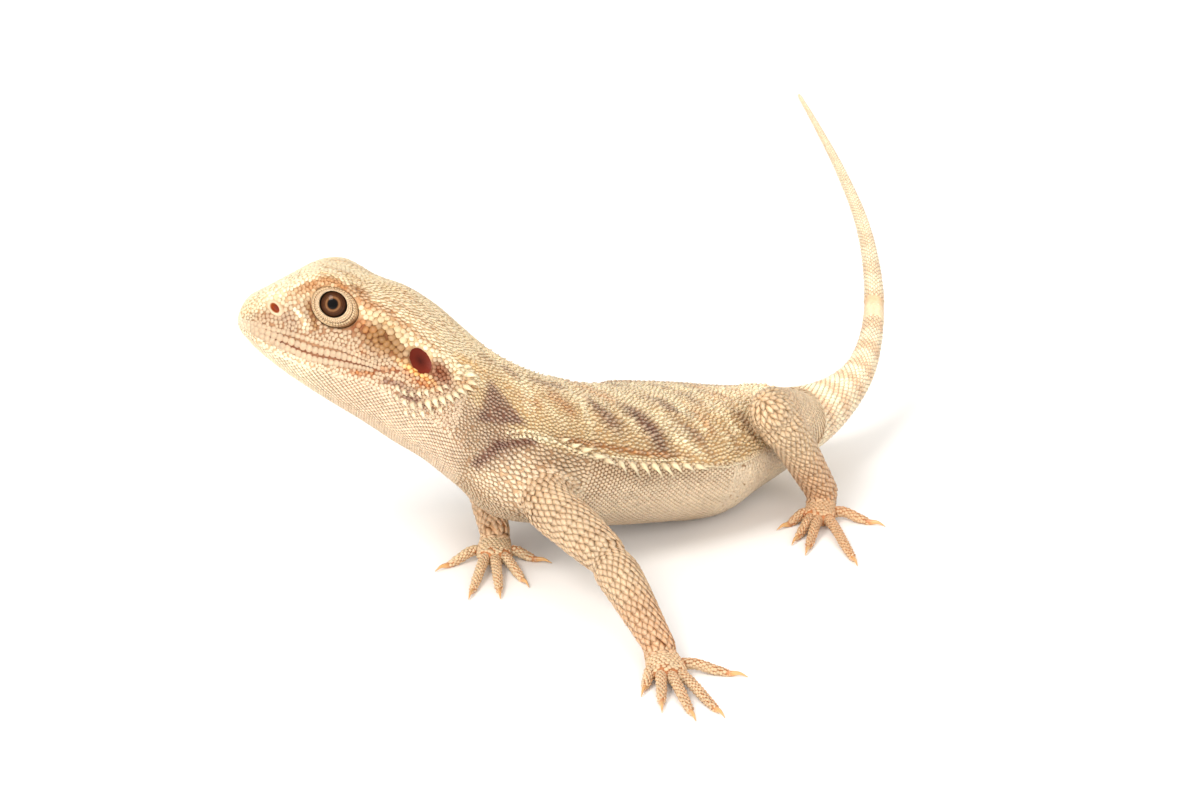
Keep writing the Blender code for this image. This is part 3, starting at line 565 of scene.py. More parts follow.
def body_colours(a, r):
    """Colour of the scales at places on the body: grounds by region, then soft spots, blotches and bands,
    and painted light and shade over them.
    """
    c = colours()
    v = side_of(r)
    wave = ripple(a, r, 3)
    fine = ripple(a, r, 4, 3.0)
    on_trunk = ease(a + 0.06 * fine, 8.9, 9.9)
    behind_head = ease(a, 9.6, 10.2)
    crown_spots = (1 - ease(v, 1.0, 1.5)) * (1 - on_trunk) * ease(a, 4.0, 5.0)
    tone = mix(c["crown"], c["muzzle"], 1 - ease(a, 2.6, 4.8))
    for name, share in (("cheek", ease(v, 1.5, 2.3) * ease(a, 0.4, 2.2)),
                        ("throat", ease(v, 3.0, 3.35)),
                        ("muzzle", 0.6 * ease(v, 3.0, 3.3) * (1 - ease(a, 4.5, 6.5))),
                        ("back", on_trunk * (1 - ease(v + 0.05 * fine, 1.95, 2.15))),
                        ("crown", 0.75 * on_trunk * (1 - ease(v, 0.4, 1.1))),
                        ("flank", behind_head * ease(v, 2.0, 2.2)),
                        ("belly", ease(a, 13.2, 14.6) * ease(v, 2.0, 2.3)),
                        ("belly", behind_head * ease(v + 0.1 * wave, 2.3, 2.9)),
                        # painted shade: the lowest part of the underside darker, in the flank's colour
                        ("flank", 0.8 * behind_head * ease(v, 3.5, 4.2)),
                        ("tail", ease(a, 14.5, 17.2) * (0.35 + 0.65 * ease(a, 16.0, 17.4))),
                        ("back", 0.55 * crown_spots * ease(fine + 0.6 * wave, 0.1, 0.9))):
        tone = mix(tone, c[name], share)
    for at, side, reach, spread, slope, sharp, name, strength in FACE_MARKS:
        d = ((a - at) / reach) ** 2 + ((v - side - slope * (a - at)) / spread) ** 2
        tone = mix(tone, c[name], strength * np.exp(-(d * (1 + 0.25 * fine)) ** sharp))
    moved = a + 0.05 * wave, v + 0.04 * fine
    for *ends, half, name, strength in STREAKS:
        tone = mix(tone, c[name], strength * near_line(*moved, ends, half * (1 + 0.2 * fine)))
    # the neck's dark patch: a triangle whose edges are three straight lines
    inside = ease(a, 9.68, 9.90) * ease(v - 1.30 - 0.76 * (a - 10.0) + 0.03 * fine, -0.10, 0.10)
    inside = inside * (1 - ease(v - 1.78 - 0.80 * (10.62 - a) + 0.03 * fine, -0.10, 0.08))
    tone = mix(tone, c["blotch"] * (0.95, 0.92, 1.02), (0.86 + 0.08 * fine) * inside)
    tone = mix(tone, c["temple"], 0.85 * window(a, 11.0, 11.4, 12.9, 14.0) * bell(v, 1.79, 0.07))
    rings = np.cos(2 * math.pi * ((a - RING_START) / RING_STEP + 0.06 * wave + 0.05 * fine))
    tail = ease(a, 16.6, 17.2) * (1 - 0.85 * ease(a, 20.0, 24.0)) * (1 - 0.5 * ease(v, 1.5, 2.6))
    tone = mix(tone, c["tail_band"], 0.62 * tail * ease(-rings, -0.5, 0.7))
    # painted shade in the shoulder's crease
    for ends in CREASE_SHADE_LINES:
        tone = mix(tone, c["blotch"] * (0.8, 0.55, 0.6), 0.80 * near_line(a, v, ends, 0.55))
    tone = mix(tone, c["rust"], 0.85 * near_line(a, v, BEARD_LINE, 0.22))
    # painted light and shade: the loins, the tail's root and the line of the spine lighter on top, as if lit
    # from above; the underside from the throat's rear and the shoulder back, and a band along the upper flank
    # above the spines, darker as shade; besides, the cheek a little lighter
    light = 1 + 0.10 * ease(a, 13.8, 15.0) * (1 - ease(v, 1.0, 1.6))
    light = light + 0.30 * window(a, 15.0, 17.2, 19.0, 21.0) * (1 - 0.85 * ease(v, 0.9, 2.0))
    light = light + 0.07 * on_trunk * (1 - ease(v, 0.4, 1.2))
    light = light + 0.08 * (1 - ease(a, 8.6, 9.4)) * window(v, 2.1, 2.5, 3.1, 3.5)
    light = light - 0.14 * ease(a, 10.5, 11.5) * ease(v, 3.1, 3.9)
    light = light - 0.10 * window(a, 10.0, 10.8, 13.0, 14.0) * window(v, 1.2, 1.8, 2.0, 2.2)
    return tone * (light + 0.035 * fine)[..., None]


def body_gaps(a, r, tone):
    """Colour of the skin between the body's scales: the scale's own colour, deeper and warmer."""
    c = colours()
    v = side_of(r)
    deep = tone ** 1.2 * np.array((0.84, 0.74, 0.66))
    muzzle = (1 - ease(a, 4.0, 6.5)) * (1 - ease(v, 1.8, 2.4))
    deep = mix(deep, tone ** 1.1 * (0.92, 0.82, 0.72), 0.85 * muzzle)
    deep = mix(deep, tone ** 1.05 * (0.97, 0.93, 0.88), 0.85 * ease(a, 16.2, 17.2))
    cheek = (1 - ease(a, 8.6, 9.4)) * window(v, 1.7, 2.1, 3.1, 3.5)
    deep = mix(deep, tone ** 1.25 * (0.76, 0.60, 0.50), cheek)
    underside = window(a, 11.6, 12.2, 15.5, 16.5) * ease(v, 2.0, 2.2)
    deep = mix(deep, deep * (0.78, 0.70, 0.64), underside)
    off_mouth = np.abs(v - mouth_round(a)) * ROUND_MM
    line = bell(off_mouth, 0.0, MOUTH_LINE) * window(a, 0.9, 1.6, 8.1, 8.6)
    return mix(deep, c["eardrum"] * 1.2, 0.85 * line)


# painted light and shade of each leg beside the rest: the right foreleg lighter against the body's shadow over
# it, the left foreleg darker
LEG_PAINTED_LIGHT = {"fore_left": (0.84, 0.82, 0.80), "fore_right": (1.12, 1.20, 1.22),
             "hind_left": (1.00, 1.01, 1.00), "hind_right": (1.0, 1.0, 1.0)}
LEG_GAP = (0.76, 0.62, 0.51)  # the skin between a leg's scales beside the scales


def leg_colours(s, turn, name):
    """Colour of the leg's scales: pinkish cream with faint warmer bands, under the leg's painted light and
    shade.
    """
    c = colours()
    wave = ripple(s, turn, 8)
    tone = mix(c["leg"], c["temple"], 0.16 * ease(np.cos(2 * math.pi * 1.1 * s + 0.5 * wave), 0.3, 0.9))
    return tone * LEG_PAINTED_LIGHT[name] * (1 + 0.04 * wave)[..., None]


# ---- meshes ----
MARKS = "markings"  # the colour attribute
PIGMENT = (0.80, 0.76, 0.70)  # how much of each colour the surface gives back under the stage's lights


def loose_points(name, points):
    """A mesh of points alone, given in millimetres."""
    mesh = bpy.data.meshes.new(name)
    mesh.vertices.add(len(points))
    set_points(mesh, points)
    return mesh


def mesh_from_arrays(name, points, faces, smooth=True):
    """A mesh from arrays: points in millimetres and faces that all have the same number of corners."""
    mesh = loose_points(name, np.asarray(points, float))
    count, corners = faces.shape
    mesh.loops.add(count * corners)
    mesh.loops.foreach_set("vertex_index", faces.astype(np.int32).ravel())
    mesh.polygons.add(count)
    mesh.polygons.foreach_set("loop_start", np.arange(0, count * corners, corners, dtype=np.int32))
    mesh.polygons.foreach_set("use_smooth", np.full(count, smooth))
    mesh.update(calc_edges=True)
    return mesh


def grid_faces(rows, sides, wrap=False):
    """Quads of a grid whose rings close round; with wrap, its last ring joins its first."""
    i = np.arange(rows if wrap else rows - 1)[:, None]
    j = np.arange(sides)[None, :]
    here, there = i * sides, ((i + 1) % rows) * sides
    return np.stack([here + j, here + (j + 1) % sides, there + (j + 1) % sides, there + j], -1).reshape(-1, 4)


def points_of(mesh):
    """A mesh's points in millimetres."""
    co = np.empty(len(mesh.vertices) * 3, np.float32)
    mesh.vertices.foreach_get("co", co)
    return co.reshape(-1, 3).astype(float) / MM


def set_points(mesh, points):
    """Moves a mesh's points to places in millimetres."""
    mesh.vertices.foreach_set("co", (points * MM).astype(np.float32).ravel())
    mesh.update()


def paint(mesh, tones):
    """Stores one colour for each vertex in the colour attribute that the materials read."""
    layer = mesh.color_attributes.get(MARKS) or mesh.color_attributes.new(MARKS, "FLOAT_COLOR", "POINT")
    full = np.ones((len(tones), 4), np.float32)
    full[:, :3] = np.clip(tones * PIGMENT, 0, 1)
    layer.data.foreach_set("color", full.ravel())


def add_object(name, mesh):
    """Adds an object with a mesh to the scene."""
    made = bpy.data.objects.new(name, mesh)
    bpy.context.scene.collection.objects.link(made)
    return made


def add_piece(name, mesh, material, replaced=()):
    """Adds a finished piece of the object, tied to its one body."""
    made = add_object(name, mesh)
    mesh.materials.clear()
    mesh.materials.append(material)
    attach(made, "root")
    if replaced:
        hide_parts(*replaced)
    return made


def finished_mesh(made, name):
    """The mesh that an object has after its modifiers, as a mesh of its own; the object is removed."""
    graph = bpy.context.evaluated_depsgraph_get()
    mesh = bpy.data.meshes.new_from_object(made.evaluated_get(graph))
    mesh.name = name
    bpy.data.objects.remove(made, do_unlink=True)
    return mesh


def shrunk_ends(grid):
    """The places of a grid as one list, with its first and last ring shrunk to one place each."""
    return np.concatenate([grid[0, :1], grid[1:-1].reshape(-1, 3), grid[-1, :1]])


def closed_tube(rings):
    """Points and outward triangles of a closed tube from a grid of rings; its end rings shrink to a point."""
    rows, sides = rings.shape[:2]
    points = shrunk_ends(rings)
    quads = grid_faces(rows - 2, sides) + 1
    j = np.arange(sides)
    first = np.stack([np.zeros_like(j), 1 + (j + 1) % sides, 1 + j], -1)
    end = 1 + (rows - 3) * sides
    last = np.stack([np.full_like(j, len(points) - 1), end + j, end + (j + 1) % sides], -1)
    return points, outward(points, np.concatenate([quads[:, (0, 1, 2)], quads[:, (0, 2, 3)], first, last]))


def painted_tube(name, rings, tones):
    """A closed, coloured mesh from a grid of rings and the colours at its places."""
    mesh = mesh_from_arrays(name, *closed_tube(rings))
    paint(mesh, shrunk_ends(tones))
    return mesh


def joined(parts):
    """One set of points and triangles from several."""
    points, faces, offset = [], [], 0
    for p, f in parts:
        points.append(p)
        faces.append(f + offset)
        offset += len(p)
    return np.concatenate(points), np.concatenate(faces)


def outward(points, faces):
    """Triangles turned so that the closed shape's volume is positive."""
    a, b, c = (points[faces[:, k]] for k in range(3))
    volume = np.einsum("ij,ij->i", a, np.cross(b, c)).sum()
    return faces if volume > 0 else faces[:, ::-1]


# ---- materials ----
def new_material(name):
    """A material with its node tree and its surface node."""
    made = bpy.data.materials.new(name)
    made.use_nodes = True
    return made, made.node_tree, made.node_tree.nodes["Principled BSDF"]


def set_inputs(tree, node, inputs):
    """Sets inputs of a shader node, each to a value or to a link from another node's output."""
    for name, value in inputs.items():
        if isinstance(value, bpy.types.NodeSocket):
            tree.links.new(value, node.inputs[name])
        else:
            node.inputs[name].default_value = value


def add_node(tree, kind, output, inputs, **settings):
    """Adds a shader node with its settings and inputs, and returns one of its outputs."""
    node = tree.nodes.new("ShaderNode" + kind)
    for name, value in settings.items():
        setattr(node, name, value)
    set_inputs(tree, node, inputs)
    return node.outputs[output]


def marks_of(tree):
    """The colours stored at the mesh's vertices."""
    return add_node(tree, "Attribute", "Color", {}, attribute_name=MARKS)


def noise(tree, inputs):
    """Noise over the object's own axes; its scale counts waves in one metre."""
    place = add_node(tree, "TexCoord", "Object", {})
    return add_node(tree, "TexNoise", "Fac", {**inputs, "Vector": place})


MIX_A, MIX_B, MIX_RESULT = 6, 7, 2  # the colour sockets of the mixing node


def tinted(tree, over, way, share):
    """The markings mixed with another output, in one of the ways that the mixing node knows."""
    inputs = {"Factor": share, MIX_A: marks_of(tree), MIX_B: over}
    return add_node(tree, "Mix", MIX_RESULT, inputs, data_type="RGBA", blend_type=way)


def hide_material(name, roughness, grain, bump):
    """Hide: the markings with a little mottling, a fine grain in the relief, and soft skin depth."""
    made, tree, shader = new_material(name)
    coarse, fine = noise(tree, {"Scale": grain, "Detail": 4.0}), noise(tree, {"Scale": 9000.0, "Detail": 3.0})
    span = {"From Min": 0.3, "From Max": 0.7, "To Min": 0.88, "To Max": 1.10}
    mottle = add_node(tree, "MapRange", "Result", {**span, "Value": coarse})
    relief = add_node(tree, "Bump", "Normal", {"Strength": bump, "Distance": 0.00003, "Height": fine})
    set_inputs(tree, shader, {"Base Color": tinted(tree, mottle, "MULTIPLY", 1.0), "Normal": relief,
                              "Roughness": roughness, "Specular IOR Level": 0.4, "Subsurface Weight": 0.12,
                              "Subsurface Radius": (1.0, 0.45, 0.25), "Subsurface Scale": 0.0008})
    return made


def material_of(name, make, *settings):
    """The material of a name, made if it isn't there yet."""
    return bpy.data.materials.get(name) or make(name, *settings)


def skin_material():
    """The hide of the bare skin, a little duller than the scales."""
    return material_of("dragon_skin", hide_material, 0.62, 1500.0, 0.5)


def scale_material():
    """The hide of the scales."""
    return material_of("dragon_scales", hide_material, 0.5, 2600.0, 0.35)


# ---- stage ----
def floor_material(name):
    """Pale matt paper."""
    made, tree, shader = new_material(name)
    set_inputs(tree, shader, {"Base Color": (*colours()["floor"], 1.0), "Roughness": 0.9})
    return made


def add_light(scene, name, place, size, power, tone, aim):
    """A round soft light turned towards the aim; place, size and aim in mm, power in watts."""
    lamp = bpy.data.lights.new(name, "AREA")
    lamp.shape = "DISK"
    lamp.size = size * MM
    lamp.energy = power
    lamp.color = tone
    made = bpy.data.objects.new(name, lamp)
    scene.collection.objects.link(made)
    made.location = np.array(place) * MM
    made.visible_glossy = name == "key"  # so that the eye shows one highlight
    ahead = unit(aim - np.array(place, float))
    made.rotation_euler = (math.acos(-ahead[2]), 0.0, math.atan2(-ahead[0], ahead[1]))


class DRAGON_OT_stage(bpy.types.Operator):
    """Lay the pale floor, and set the soft lights and the camera"""

    bl_idname = "dragon.stage"
    bl_label = "Stage"

    # the camera looks down on the flank from the front left; it is aimed at the belly and shifted off it
    AZIMUTH, ELEVATION, DISTANCE = 50.0, 20.0, 450.0
    AIM = np.array((0.0, -7.5, 0.0))
    ASIDE, ABOVE = -5.5575, 14.82  # mm from the aim, along the camera's right and up
    LENS = 109.3
    FLOOR_HALF = 3000.0
    LIGHTS_AIM = np.array((0.0, 0.0, 10.0))
    # name, place and size in mm, power in watts, colour
    LIGHTS = (("key", (80, -640, 700), 380, 4.6, (1.0, 0.97, 0.93)),
              ("fill", (720, -330, 330), 700, 4.6, (1.0, 0.98, 0.96)),
              ("low", (300, -780, 130), 500, 3.4, (1.0, 0.97, 0.94)),
              ("rim", (-500, 600, 620), 500, 2.0, (1.0, 0.99, 0.97)))
    ROOM_TONE, ROOM_LIGHT = (1.0, 0.985, 0.965, 1.0), 0.78

    def execute(self, context):
        scene = context.scene
        turn, rise = math.radians(self.AZIMUTH), math.radians(self.ELEVATION)
        right = np.array((math.cos(turn), math.sin(turn), 0.0))
        back = np.array((math.sin(turn) * math.cos(rise), -math.cos(turn) * math.cos(rise), math.sin(rise)))
        camera = bpy.data.objects.new("camera", bpy.data.cameras.new("camera"))
        scene.collection.objects.link(camera)
        place = self.AIM + self.DISTANCE * back + self.ASIDE * right + self.ABOVE * np.cross(back, right)
        camera.location = place * MM
        camera.rotation_euler = (math.pi / 2 - rise, 0.0, turn)
        camera.data.lens = self.LENS
        camera.data.clip_start = 0.01
        scene.camera = camera

        half = self.FLOOR_HALF
        corners = np.array(((-half, -half, 0), (half, -half, 0), (half, half, 0), (-half, half, 0)))
        floor = add_object("floor", mesh_from_arrays("floor", corners, np.array(((0, 1, 2, 3),)), False))
        floor.data.materials.append(material_of("floor_paper", floor_material))

        for light in self.LIGHTS:
            add_light(scene, *light, self.LIGHTS_AIM)
        world = bpy.data.worlds.new("soft_room")
        scene.world = world
        world.use_nodes = True
        set_inputs(world.node_tree, world.node_tree.nodes["Background"],
                   {"Color": self.ROOM_TONE, "Strength": self.ROOM_LIGHT})
        scene.view_settings.view_transform = "Standard"
        return {"FINISHED"}


# ---- skin ----
FLESH = ["head", "lower_jaw", "neck", "trunk", "tail_1", "tail_2", "tail_3", "tail_4"]
FLESH += [f"{part}_{side}" for parts in PART_NAMES.values() for part in parts for side in ("left", "right")]
TAIL_JOIN = 21.0  # past here the thin tail is a plain tube, finer than the skin's grain
PALM_COAT, TOE_COAT = 0.6, 0.4  # the coat's depth there beside that of the body
ROOT_REACH = (3.5, 7.5)  # mm from a hip to where the root's smoothing starts to fade, and to where it ends
ROOT_LEVELS = 10
FLOOR_CLEAR = 0.02  # height in mm below which no point of the skin, scales or claws goes
SIDES = ((1, "left"), (-1, "right"))


def eye_frame(side):
    """The eyeball's middle and its own axes: outwards, towards the snout and up; side is 1 left, -1 right."""
    middle = in_head(EYE["back"], side * EYE["side"], EYE["up"])
    out = unit(side * LEFT + 0.10 * FORWARD + 0.16 * UP)
    ahead = unit(FORWARD - (FORWARD @ out) * out)
    return middle, out, ahead, np.cross(ahead, out) * side


def face_frame(side, a, v, slant):
    """A place on the head with its outward axis and two axes in the surface.

    The first of those two points to the snout, turned down by the slant in degrees, and the second is square
    to it.
    """
    r = on_side(v, side)
    step = 0.15
    middle = body_at(a, r)
    ahead = unit(body_at(a - step, r) - body_at(a + step, r))
    down = unit(body_at(a, r + step * side) - body_at(a, r - step * side))
    out = unit(np.cross(ahead, down)) * side
    down = np.cross(out, ahead) * side
    turn = math.radians(slant)
    first = math.cos(turn) * ahead + math.sin(turn) * down
    return middle, out, first, np.cross(out, first)


def ear_frame(side):
    """The eardrum's middle, its outward axis, and its long and short axes."""
    return face_frame(side, EAR["along"], EAR["around"], EAR["slant"])


def nostril_frame(side):
    """The nostril's middle, its outward axis, and the axes along and across its slit."""
    return face_frame(side, *NOSTRIL)


# the fold round the lids: how far its middle lies ahead of and above the eye's, its half-sizes in mm and its
# tilt in degrees
FOLD = dict(ahead=-0.28, up=-0.36, long=3.12, short=2.40, tilt=9.0)


def fold_frame(side):
    """The eye's middle and outward axis, the long and short axes of the fold, and its offset from the eye."""
    middle, out, ahead, up = eye_frame(side)
    tilt = math.radians(FOLD["tilt"])
    along = math.cos(tilt) * ahead + math.sin(tilt) * up
    across = math.cos(tilt) * up - math.sin(tilt) * ahead
    return middle, out, along, across, FOLD["ahead"] * ahead + FOLD["up"] * up


def oval_distance(points, place, half):
    """How far out points are, in shares of an oval's half-sizes, and their height above its middle."""
    middle, out, long_axis, short_axis = place
    d = points - middle
    return np.hypot(d @ long_axis / half[0], d @ short_axis / half[1]), d @ out


def lid_distance(points, side):
    """How far out points are, in shares of the lids' fold, and their height above the eye's middle."""
    middle, out, along, across, offset = fold_frame(side)
    return oval_distance(points, (middle + offset, out, along, across), (FOLD["long"], FOLD["short"]))


def body_tube(stations, sides, grow):
    """The body's loft over the stations as a closed tube, whose end rings shrink to their own middles."""
    rings = body_at(stations[:, None], np.linspace(0, 10, sides, endpoint=False)[None, :], grow)
    for end in (0, -1):
        rings[end] = rings[end].mean(axis=0)
    return closed_tube(rings)


def body_mesh_parts(depth):
    """The body's loft and the legs' tubes as closed shapes, each moved in by the coat's depth."""
    a = np.concatenate([[0.0], np.linspace(0.06, TAIL_JOIN + 0.4, 360), [TAIL_JOIN + 0.5]])
    parts = [body_tube(a, 140, -depth)]
    for upper, lower, palm, _ in LEG_TUBES.values():
        parts += [closed_tube(upper.grid(40, 40, -depth)), closed_tube(lower.grid(50, 40, -depth)),
                  closed_tube(palm.grid(24, 32, -PALM_COAT * depth))]
    return parts


def thin_parts(depth):
    """The tail's end and the toes, which are finer than the skin's grain, as closed tubes of their own."""
    a = np.concatenate([[TAIL_JOIN - 0.06], np.linspace(TAIL_JOIN - 0.05, LAST - 0.03, 110), [LAST]])
    parts = [body_tube(a, 28, -0.5 * depth)]
    for _, _, _, toes in LEG_TUBES.values():
        parts += [closed_tube(toe.grid(26, 18, -TOE_COAT * depth)) for toe, _ in toes]
    return parts


def marked_parts():
    """Open grids over the whole body and the legs that carry the gaps' colours, to colour the skin from."""
    c = colours()
    parts, tones = [], []
    rows, sides = 620, 150
    a = np.linspace(0.02, LAST, rows)[:, None] + np.zeros((1, sides))
    r = np.zeros((rows, 1)) + np.linspace(0, 10, sides, endpoint=False)[None, :]
    parts.append((body_at(a, r).reshape(-1, 3), grid_faces(rows, sides)))
    tones.append(body_gaps(a, r, body_colours(a, r)).reshape(-1, 3))
    for name, (upper, lower, palm, toes) in LEG_TUBES.items():
        for tube, share in [(upper, 0.0), (lower, 0.2), (palm, 1.0)] + [(toe, 1.0) for toe, _ in toes]:
            grid = tube.grid(24, 20)
            parts.append((grid.reshape(-1, 3), grid_faces(*grid.shape[:2])))
            between = mix(c["leg"] * LEG_GAP, c["gap"], np.full(grid[..., 0].size, share))
            # the gaps under the leg's painted light and shade too
            tones.append(between * LEG_PAINTED_LIGHT[name])
    points, faces = joined(parts)
    mesh = mesh_from_arrays("marked", points, faces)
    paint(mesh, np.concatenate(tones))
    return mesh


def hollow_face(points):
    """Lets the skin in round the eyes, at the ears and at the nostrils, for the lids, drums and rims."""
    for side, _ in SIDES:
        share, height = lid_distance(points, side)
        inside = (1 - ease(share, 0.84, 1.03)) * (height > 0)
        drop = np.maximum(height - 1.2, 0) * inside
        points = points - drop[:, None] * eye_frame(side)[1]
        for place, half, depth in ((ear_frame(side), (EAR["long"], EAR["short"]), 0.95),
                                   (nostril_frame(side), (0.95, 0.55), 0.9)):
            share, height = oval_distance(points, place, half)
            inside = (1 - ease(share, 0.80, 1.12)) * (np.abs(height) < 3)
            points = points - (depth * inside)[:, None] * place[1]
    return points


def smooth(made, name, rounds):
    """Adds a smoothing modifier that moves each point halfway to its neighbours' mean in every round."""
    soft = made.modifiers.new(name, "SMOOTH")
    soft.factor = 0.5
    soft.iterations = rounds
    return soft


def soften_roots(mesh):
    """Lets the legs' roots flow into the body: a stronger smoothing that fades out away from each hip."""
    made = add_object("skin_roots", mesh)
    group = made.vertex_groups.new(name="roots")
    points, weight = points_of(mesh), np.zeros(len(mesh.vertices))
    for leg in LEGS.values():
        away = np.linalg.norm(points - np.array(leg["joints"][1]), axis=1)
        weight = np.maximum(weight, 1 - ease(away, *ROOT_REACH))
    level = np.round(weight * ROOT_LEVELS).astype(int)
    for step in range(1, ROOT_LEVELS + 1):
        group.add(np.nonzero(level == step)[0].tolist(), step / ROOT_LEVELS, "REPLACE")
    smooth(made, "softened roots", 45).vertex_group = "roots"
    return finished_mesh(made, "skin")


class DRAGON_OT_skin(bpy.types.Operator):
    """Make the one skin that stands for every node of flesh"""

    bl_idname = "dragon.skin"
    bl_label = "Skin"

    def execute(self, context):
        depth = sizes()["coat"]
        block = add_object("skin_block", mesh_from_arrays("skin_block", *joined(body_mesh_parts(depth))))
        grain = block.modifiers.new("one surface", "REMESH")
        grain.mode = "VOXEL"
        grain.voxel_size = sizes()["voxel"] * MM
        grain.use_smooth_shade = True
        smooth(block, "softened joins", 7)
        mesh = soften_roots(finished_mesh(block, "skin"))
        set_points(mesh, hollow_face(points_of(mesh)))
        mesh.calc_loop_triangles()
        triangles = np.empty(len(mesh.loop_triangles) * 3, np.int32)
        mesh.loop_triangles.foreach_get("vertices", triangles)
        points, faces = joined([(points_of(mesh), triangles.reshape(-1, 3))] + thin_parts(depth))
        points[:, 2] = np.maximum(points[:, 2], FLOOR_CLEAR)
        made = add_object("skin_marking", mesh_from_arrays("skin", points, faces))
        paint(made.data, np.ones((len(points), 3)))
        source = add_object("marked", marked_parts())
        carry = made.modifiers.new("markings", "DATA_TRANSFER")
        carry.object = source
        carry.use_vert_data = True
        carry.data_types_verts = {"COLOR_VERTEX"}
        carry.vert_mapping = "POLYINTERP_NEAREST"
        mesh = finished_mesh(made, "skin")
        bpy.data.objects.remove(source, do_unlink=True)
        add_piece("skin", mesh, skin_material(), FLESH)
        return {"FINISHED"}


# ---- scales ----
def scale_shape(kind):
    """Points, triangles and shade of one scale.

    In its points x is half-widths across, y lengths from the root to the tip, and z heights. Shade 0 takes
    the gap's colour, 1 the scale's, and more a paler tip: partly the scale's own pale tip and partly a painted
    highlight on its keel or dome.
    """
    if kind == "keeled":
        rim = [(0, -0.05, -0.1, 0.2), (-0.72, 0.12, 0.0, 0.35), (-1, 0.48, 0.1, 0.6), (-0.55, 0.88, 0.3, 0.8),
               (0, 1.12, 0.55, 1.1), (0.55, 0.88, 0.3, 0.8), (1, 0.48, 0.1, 0.6), (0.72, 0.12, 0.0, 0.35)]
        top = [(0, 0.22, 0.62, 0.95), (0, 0.68, 1.0, 1.15)]
        faces = [(0, 1, 8), (1, 2, 8), (2, 9, 8), (2, 3, 9), (3, 4, 9), (4, 5, 9), (5, 6, 9), (6, 8, 9),
                 (6, 7, 8), (7, 0, 8)]
        n = len(rim)
    else:  # a low dome on six corners or on a square with its corners cut off, or a seven-sided spine
        n, start, swell = {"plate": (6, 0.5, 1.17), "lip": (8, 0.5, 1.40), "spine": (7, 0.0, 1.0)}[kind]
        ring = [(math.sin(t), -math.cos(t)) for t in (np.arange(n) + start) * 2 * math.pi / n]
        if kind == "spine":
            rim = [(-x, 0.28 + 0.36 * y, -0.15, 0.35) for x, y in ring]
            top = [(-0.46 * x, 0.60 + 0.15 * y, 0.62 - 0.18 * y, 0.95) for x, y in ring]
            top.append((0, 1.30, 0.80, 1.25))
        else:
            rim = [(-swell * x, 0.5 + 0.5 * swell * y, 0.0, 0.2) for x, y in ring]
            top = [(-0.87 * swell * x, 0.5 + 0.435 * swell * y, 0.85, 0.95) for x, y in ring]
            top.append((0, 0.5, 1.0, 1.04))
        ahead = [(k + 1) % n for k in range(n)]
        faces = [(k, ahead[k], n + k) for k in range(n)]
        faces += [(ahead[k], n + ahead[k], n + k) for k in range(n)]
        faces += [(n + k, n + ahead[k], 2 * n) for k in range(n)]
    under = n + len(top)
    rows = np.array(rim + top + [(0, 0.5, -0.45, 0.2)])
    faces += [((k + 1) % n, k, under) for k in range(n)]
    points = rows[:, :3]
    return points, outward(points, np.array(faces)), rows[:, 3]


def on_skin(points):
    """The nearest places on the skin to an array of points, found by a Shrinkwrap on loose vertices."""
    probe = add_object("probe", loose_points("probe", points))
    wrap = probe.modifiers.new("on the skin", "SHRINKWRAP")
    wrap.target = bpy.data.objects["skin"]
    wrap.wrap_method = "NEAREST_SURFACEPOINT"
    wrap.wrap_mode = "ON_SURFACE"
    return points_of(finished_mesh(probe, "probe"))


def staggered_rows(place, start, end, spacing, width, first=0.0, last=10.0, closed=True):
    """Parameters (s, t) of scales in staggered rows.

    Rows stand one spacing apart, measured along the surface; spacing and width are in mm, or functions of the
    parameters. Along a row the scales stand one width apart by arc length, every second row moved by half.
    """
    s = np.linspace(start, end, 400)
    t = np.linspace(first, last, 160)
    middle = place(s[:, None], t[None, ::20])
    step = np.linalg.norm(np.diff(middle, axis=0), axis=-1).mean(axis=1)
    gap = spacing(0.5 * (s[1:] + s[:-1])) if callable(spacing) else spacing
    run = np.concatenate([[0], np.cumsum(step / gap)])
    count = max(2, round(run[-1]))
    found = []
    for number, at in enumerate(np.interp(np.arange(count), run * count / run[-1], s)):
        row = place(np.full(len(t), at), t)
        pace = np.linalg.norm(np.diff(row, axis=0), axis=-1)
        wide = width(at, 0.5 * (t[1:] + t[:-1])) if callable(width) else width
        reach = np.concatenate([[0], np.cumsum(pace / wide)])
        many = max(3, round(reach[-1]))
        steps = (np.arange(many) + 0.5 * (number % 2) + (0.0 if closed else 0.25)) * reach[-1] / many
        turn = np.interp(steps, reach, t)
        found.append(np.stack([np.full(many, at), turn, np.full(many, number)], -1))
    return np.concatenate(found)


def neighbours(points, reach):
    """All pairs of points closer than reach, as two arrays of indices."""
    order = np.argsort(points[:, 1])
    line = points[order, 1]
    pairs = []
    for step in range(1, len(points)):
        i = np.nonzero(line[step:] - line[:-step] < reach)[0]
        if not len(i):
            break
        i = i[np.linalg.norm(points[order[i + step]] - points[order[i]], axis=1) < reach]
        pairs.append(np.stack([order[i], order[i + step]]))
    return np.concatenate(pairs, axis=1)


